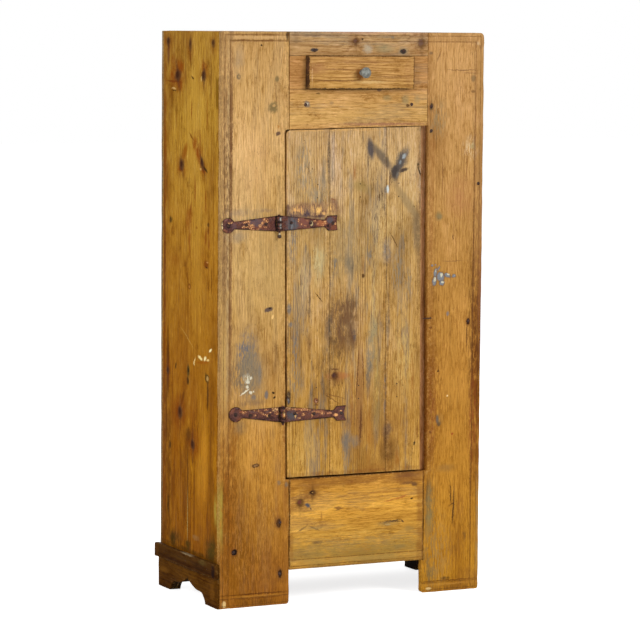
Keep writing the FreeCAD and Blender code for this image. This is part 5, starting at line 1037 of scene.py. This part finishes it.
BEADS = (0.0250, 0.0095)  # how far the two scratched lines lie from the outer edges of the front
FOOT_BEADS = (0.026, 0.007)  # and the levels of those that cross the feet and the apron
APRON_BEADS = (0.117, 0.1)
left_edge_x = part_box("left_stile")[0].x
right_edge_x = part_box("right_stile")[1].x


def frame_beads(low_x, high_x):
    """The two scratched lines that run round the whole front, where they cross one board."""
    return [Groove("z", TOP_Z - inset, max(low_x, left_edge_x + inset), min(high_x, right_edge_x - inset))
            for inset in BEADS]


def upright_beads(edge_x, inward):
    """The same two lines where they run up a stile, inward from its outer edge."""
    return [Groove("x", edge_x + inward * inset, inset * 0.6, TOP_Z - inset) for inset in BEADS]


def level_lines(node, levels, depth):
    """Scratched lines from one side of a board to the other."""
    low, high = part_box(node)
    return [Groove("z", level, low.x + 0.002, high.x - 0.002, depth) for level in levels]


def dress_frame():
    low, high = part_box("left_stile")
    worn("left_stile", "carcass", left_stile_wood, arris=0.0032, nicks=0.0018, segments=3,
         grooves=(frame_beads(low.x, high.x) + upright_beads(low.x, 1)
                  + level_lines("left_stile", FOOT_BEADS, 0.0007)),
         corners=[(high.x, low.z, 0.009), (low.x, high.z, 0.004)])
    low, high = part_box("right_stile")
    worn("right_stile", "carcass", right_stile_wood, arris=0.0035, nicks=0.002, segments=3,
         grooves=(frame_beads(low.x, high.x) + upright_beads(high.x, -1)
                  + level_lines("right_stile", FOOT_BEADS, 0.0007)),
         corners=[(low.x, low.z, 0.007), (high.x, low.z, 0.006), (high.x, high.z, 0.012)])
    low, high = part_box("upper_rail")
    worn("upper_rail", "carcass", rail_wood, arris=0.0016, grooves=frame_beads(low.x, high.x))
    worn("lower_rail", "carcass", lower_rail_wood, arris=0.0016)
    for side in ("left", "right"):
        worn(f"{side}_drawer_filler", "carcass", lower_rail_wood, arris=0.0008, nicks=0.0004)
    worn("lower_panel", "carcass", panel_wood,
         grooves=level_lines("lower_panel", APRON_BEADS, 0.0009))
    worn("drawer_front", "drawer", drawer_wood, arris=0.0018, nicks=0.001, cell=0.02)


DOOR_RISE = 0.0012  # how much the top end of the door is raised, which narrows the gap above it


def dress_door():
    low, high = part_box("left_door_plank")
    for node, arris, nicks, corners in (
            ("left_door_plank", 0.0014, 0.0012, [(low.x, high.z, 0.010)]),
            ("middle_door_plank", 0.0007, 0.0006, []),
            ("right_door_plank", 0.0014, 0.0012, [])):
        reach_up(worn(node, "door", door_pine, arris, 0.022, nicks, corners=corners), DOOR_RISE)
    for node in ("lower_door_batten", "upper_door_batten"):
        worn(node, "door", inside_board_wood, arris=0.003)


def reach_up(piece, rise, edge=0.003):
    """Raise a plank's top end: everything less than edge below its top."""
    verts = piece.data.vertices
    top = max(vert.co.z for vert in verts)
    for vert in verts:
        if vert.co.z > top - edge:
            vert.co.z += rise


def dress_sides():
    for side, material in (("left", left_side_wood), ("right", right_side_wood)):
        worn(f"{side}_side_board", "carcass", material, arris=0.0012, cell=0.04)
        worn(f"{side}_base_facing", "carcass", dark_wood, arris=0.0014, nicks=0.0012, cell=0.02)
        worn(f"{side}_base_batten", "carcass", dark_wood, arris=0.0024, nicks=0.0016, cell=0.015)
    for index in range(1, 5):
        worn(f"back_plank_{index}", "carcass", back_wood, arris=0.0015, nicks=0.0012,
             cell=0.04)


def dress_inside():
    cleats = [f"{side}_{part}" for side in ("left", "right") for part in (
        "floor_cleat", "lower_shelf_cleat", "upper_shelf_cleat", "drawer_runner", "drawer_kicker")]
    for node in ["top_board", "floor_board", "lower_shelf", "upper_shelf"] + cleats:
        worn(node, "carcass", inside_board_wood, arris=0.0012, cell=0.08)
    for node in ("left_apron_cleat", "right_apron_cleat"):
        worn(node, "carcass", inside_wood, arris=0.0015)
    worn("door_stop", "carcass", stop_wood_painted_light, arris=0.0012)
    for node in ("drawer_left_side", "drawer_right_side", "drawer_back", "drawer_bottom"):
        worn(node, "drawer", inside_board_wood, arris=0.0010, nicks=0.0004, cell=0.06)


def dress_iron():
    for side, body in (("frame", "carcass"), ("door", "door")):
        for hinge in ("upper", "lower"):
            leaf = worn(f"{hinge}_hinge_{side}_leaf", body, rusty_iron, arris=0.0007,
                        nicks=0.0012, hollow=0.0005, cell=0.006, nick_size=0.007)
            if side == "door":
                notch_tail(leaf, 0.007 if hinge == "lower" else 0.003)


def notch_tail(piece, depth, reach=0.014):
    """Draw in the middle of a leaf's free end, which leaves two points like a fish's tail."""
    verts = piece.data.vertices
    end = max(vert.co.x for vert in verts)
    tail = [vert for vert in verts if vert.co.x > end - reach]
    middle = (max(vert.co.z for vert in tail) + min(vert.co.z for vert in tail)) / 2
    half = max(vert.co.z for vert in tail) - middle
    for vert in tail:
        share = 1 - min(abs(vert.co.z - middle) / half, 1) ** 1.5
        vert.co.x -= depth * share * (1 - (end - vert.co.x) / reach)


def repaint(node, material):
    """Give a CAD part that stays as it is a material."""
    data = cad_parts[node].data
    data.materials.clear()
    data.materials.append(material)


dress_frame()
dress_door()
dress_sides()
dress_inside()
dress_iron()
for node in ("upper_hinge_pin", "lower_hinge_pin"):
    repaint(node, rusty_iron)
for node in ("back_nails", "base_nails", "batten_nails", "door_leaf_nails", "frame_leaf_nails", "frame_nails",
             "bent_nail", "knob_screw"):
    repaint(node, nail_iron)
repaint("drawer_knob", knob_metal())

# ---------------------------------------------------------------- floor, light and camera

WHITE_LIGHT = (1, 1, 1, 1)
AIM = (0, 0, 0.8)
# the camera that the photograph's corners give: its place in metres, its angles in degrees and its lens
CAMERA_PLACE = (-3.6539, -7.4950, 1.5296)
CAMERA_ANGLES = (25.921, -5.423, 0.4313)
CAMERA_LENS = 173.0
FLOOR_TONE, FLOOR_GLOW, FLOOR_HALF = 0.86, 0.78, 30
SKY_LIGHT = 0.36


def floor():
    """A pale floor that takes shadows and looks white to the camera."""
    mesh = bmesh.new()
    bmesh.ops.create_grid(mesh, x_segments=1, y_segments=1, size=FLOOR_HALF)
    data = bpy.data.meshes.new("floor")
    mesh.to_mesh(data)
    mesh.free()
    shader = Shader("pale_floor")
    plain = shader.add("BsdfDiffuse", {"Color": (FLOOR_TONE, FLOOR_TONE, FLOOR_TONE, 1)})
    glow = shader.add("Emission", {"Color": WHITE_LIGHT, "Strength": FLOOR_GLOW})
    both = shader.add("AddShader", {0: plain, 1: glow})
    seen = shader.add("LightPath", out="Is Camera Ray")
    shader.show(shader.add("MixShader", {0: seen, 1: plain, 2: both}))
    data.materials.append(shader.owner)
    piece = bpy.data.objects.new("floor", data)
    bpy.context.scene.collection.objects.link(piece)


def sky():
    """White where it is seen, reflected or seen through something, and dimmer as light."""
    shader = Shader("studio", "worlds")
    rays = shader.add("LightPath").node.outputs
    seen = shader.math("MAXIMUM", rays["Is Camera Ray"], rays["Is Glossy Ray"])
    seen = shader.math("MAXIMUM", seen, rays["Is Transmission Ray"])
    dim = shader.add("Background", {"Color": WHITE_LIGHT, "Strength": SKY_LIGHT})
    white = shader.add("Background", {"Color": WHITE_LIGHT, "Strength": 1.0})
    shader.show(shader.add("MixShader", {0: seen, 1: dim, 2: white}), "OutputWorld")
    bpy.context.scene.world = shader.owner


def lamp(name, place, size, power):
    """A soft square lamp that points at the cupboard's middle."""
    data = bpy.data.lights.new(name, "AREA")
    data.shape = "SQUARE"
    data.size = size
    data.energy = power
    piece = bpy.data.objects.new(name, data)
    piece.location = place
    piece.rotation_euler = (Vector(AIM) - Vector(place)).to_track_quat("-Z", "Y").to_euler()
    bpy.context.scene.collection.objects.link(piece)


def camera():
    """The photograph's viewpoint, which leans a little to one side."""
    yaw, pitch, roll = (math.radians(angle) for angle in CAMERA_ANGLES)
    ahead = Vector((math.sin(yaw) * math.cos(pitch), math.cos(yaw) * math.cos(pitch), math.sin(pitch)))
    right = Vector((math.cos(yaw), -math.sin(yaw), 0))
    up = right.cross(ahead)
    rolled_right = right * math.cos(roll) + up * math.sin(roll)
    rolled_up = up * math.cos(roll) - right * math.sin(roll)
    data = bpy.data.cameras.new("camera")
    data.lens = CAMERA_LENS
    data.sensor_width = 36
    data.clip_end = 100
    piece = bpy.data.objects.new("camera", data)
    turn = Matrix((rolled_right, rolled_up, -ahead)).transposed().to_4x4()
    piece.matrix_world = Matrix.Translation(CAMERA_PLACE) @ turn
    bpy.context.scene.collection.objects.link(piece)
    bpy.context.scene.camera = piece


floor()
sky()
lamp("key", (2.6, -4.6, 3.2), 2.2, 172)
lamp("fill", (-5.0, -2.4, 2.2), 3.0, 165)
lamp("back", (1.2, 5.2, 2.8), 3.0, 120)
camera()
bpy.context.scene.view_settings.view_transform = "Standard"
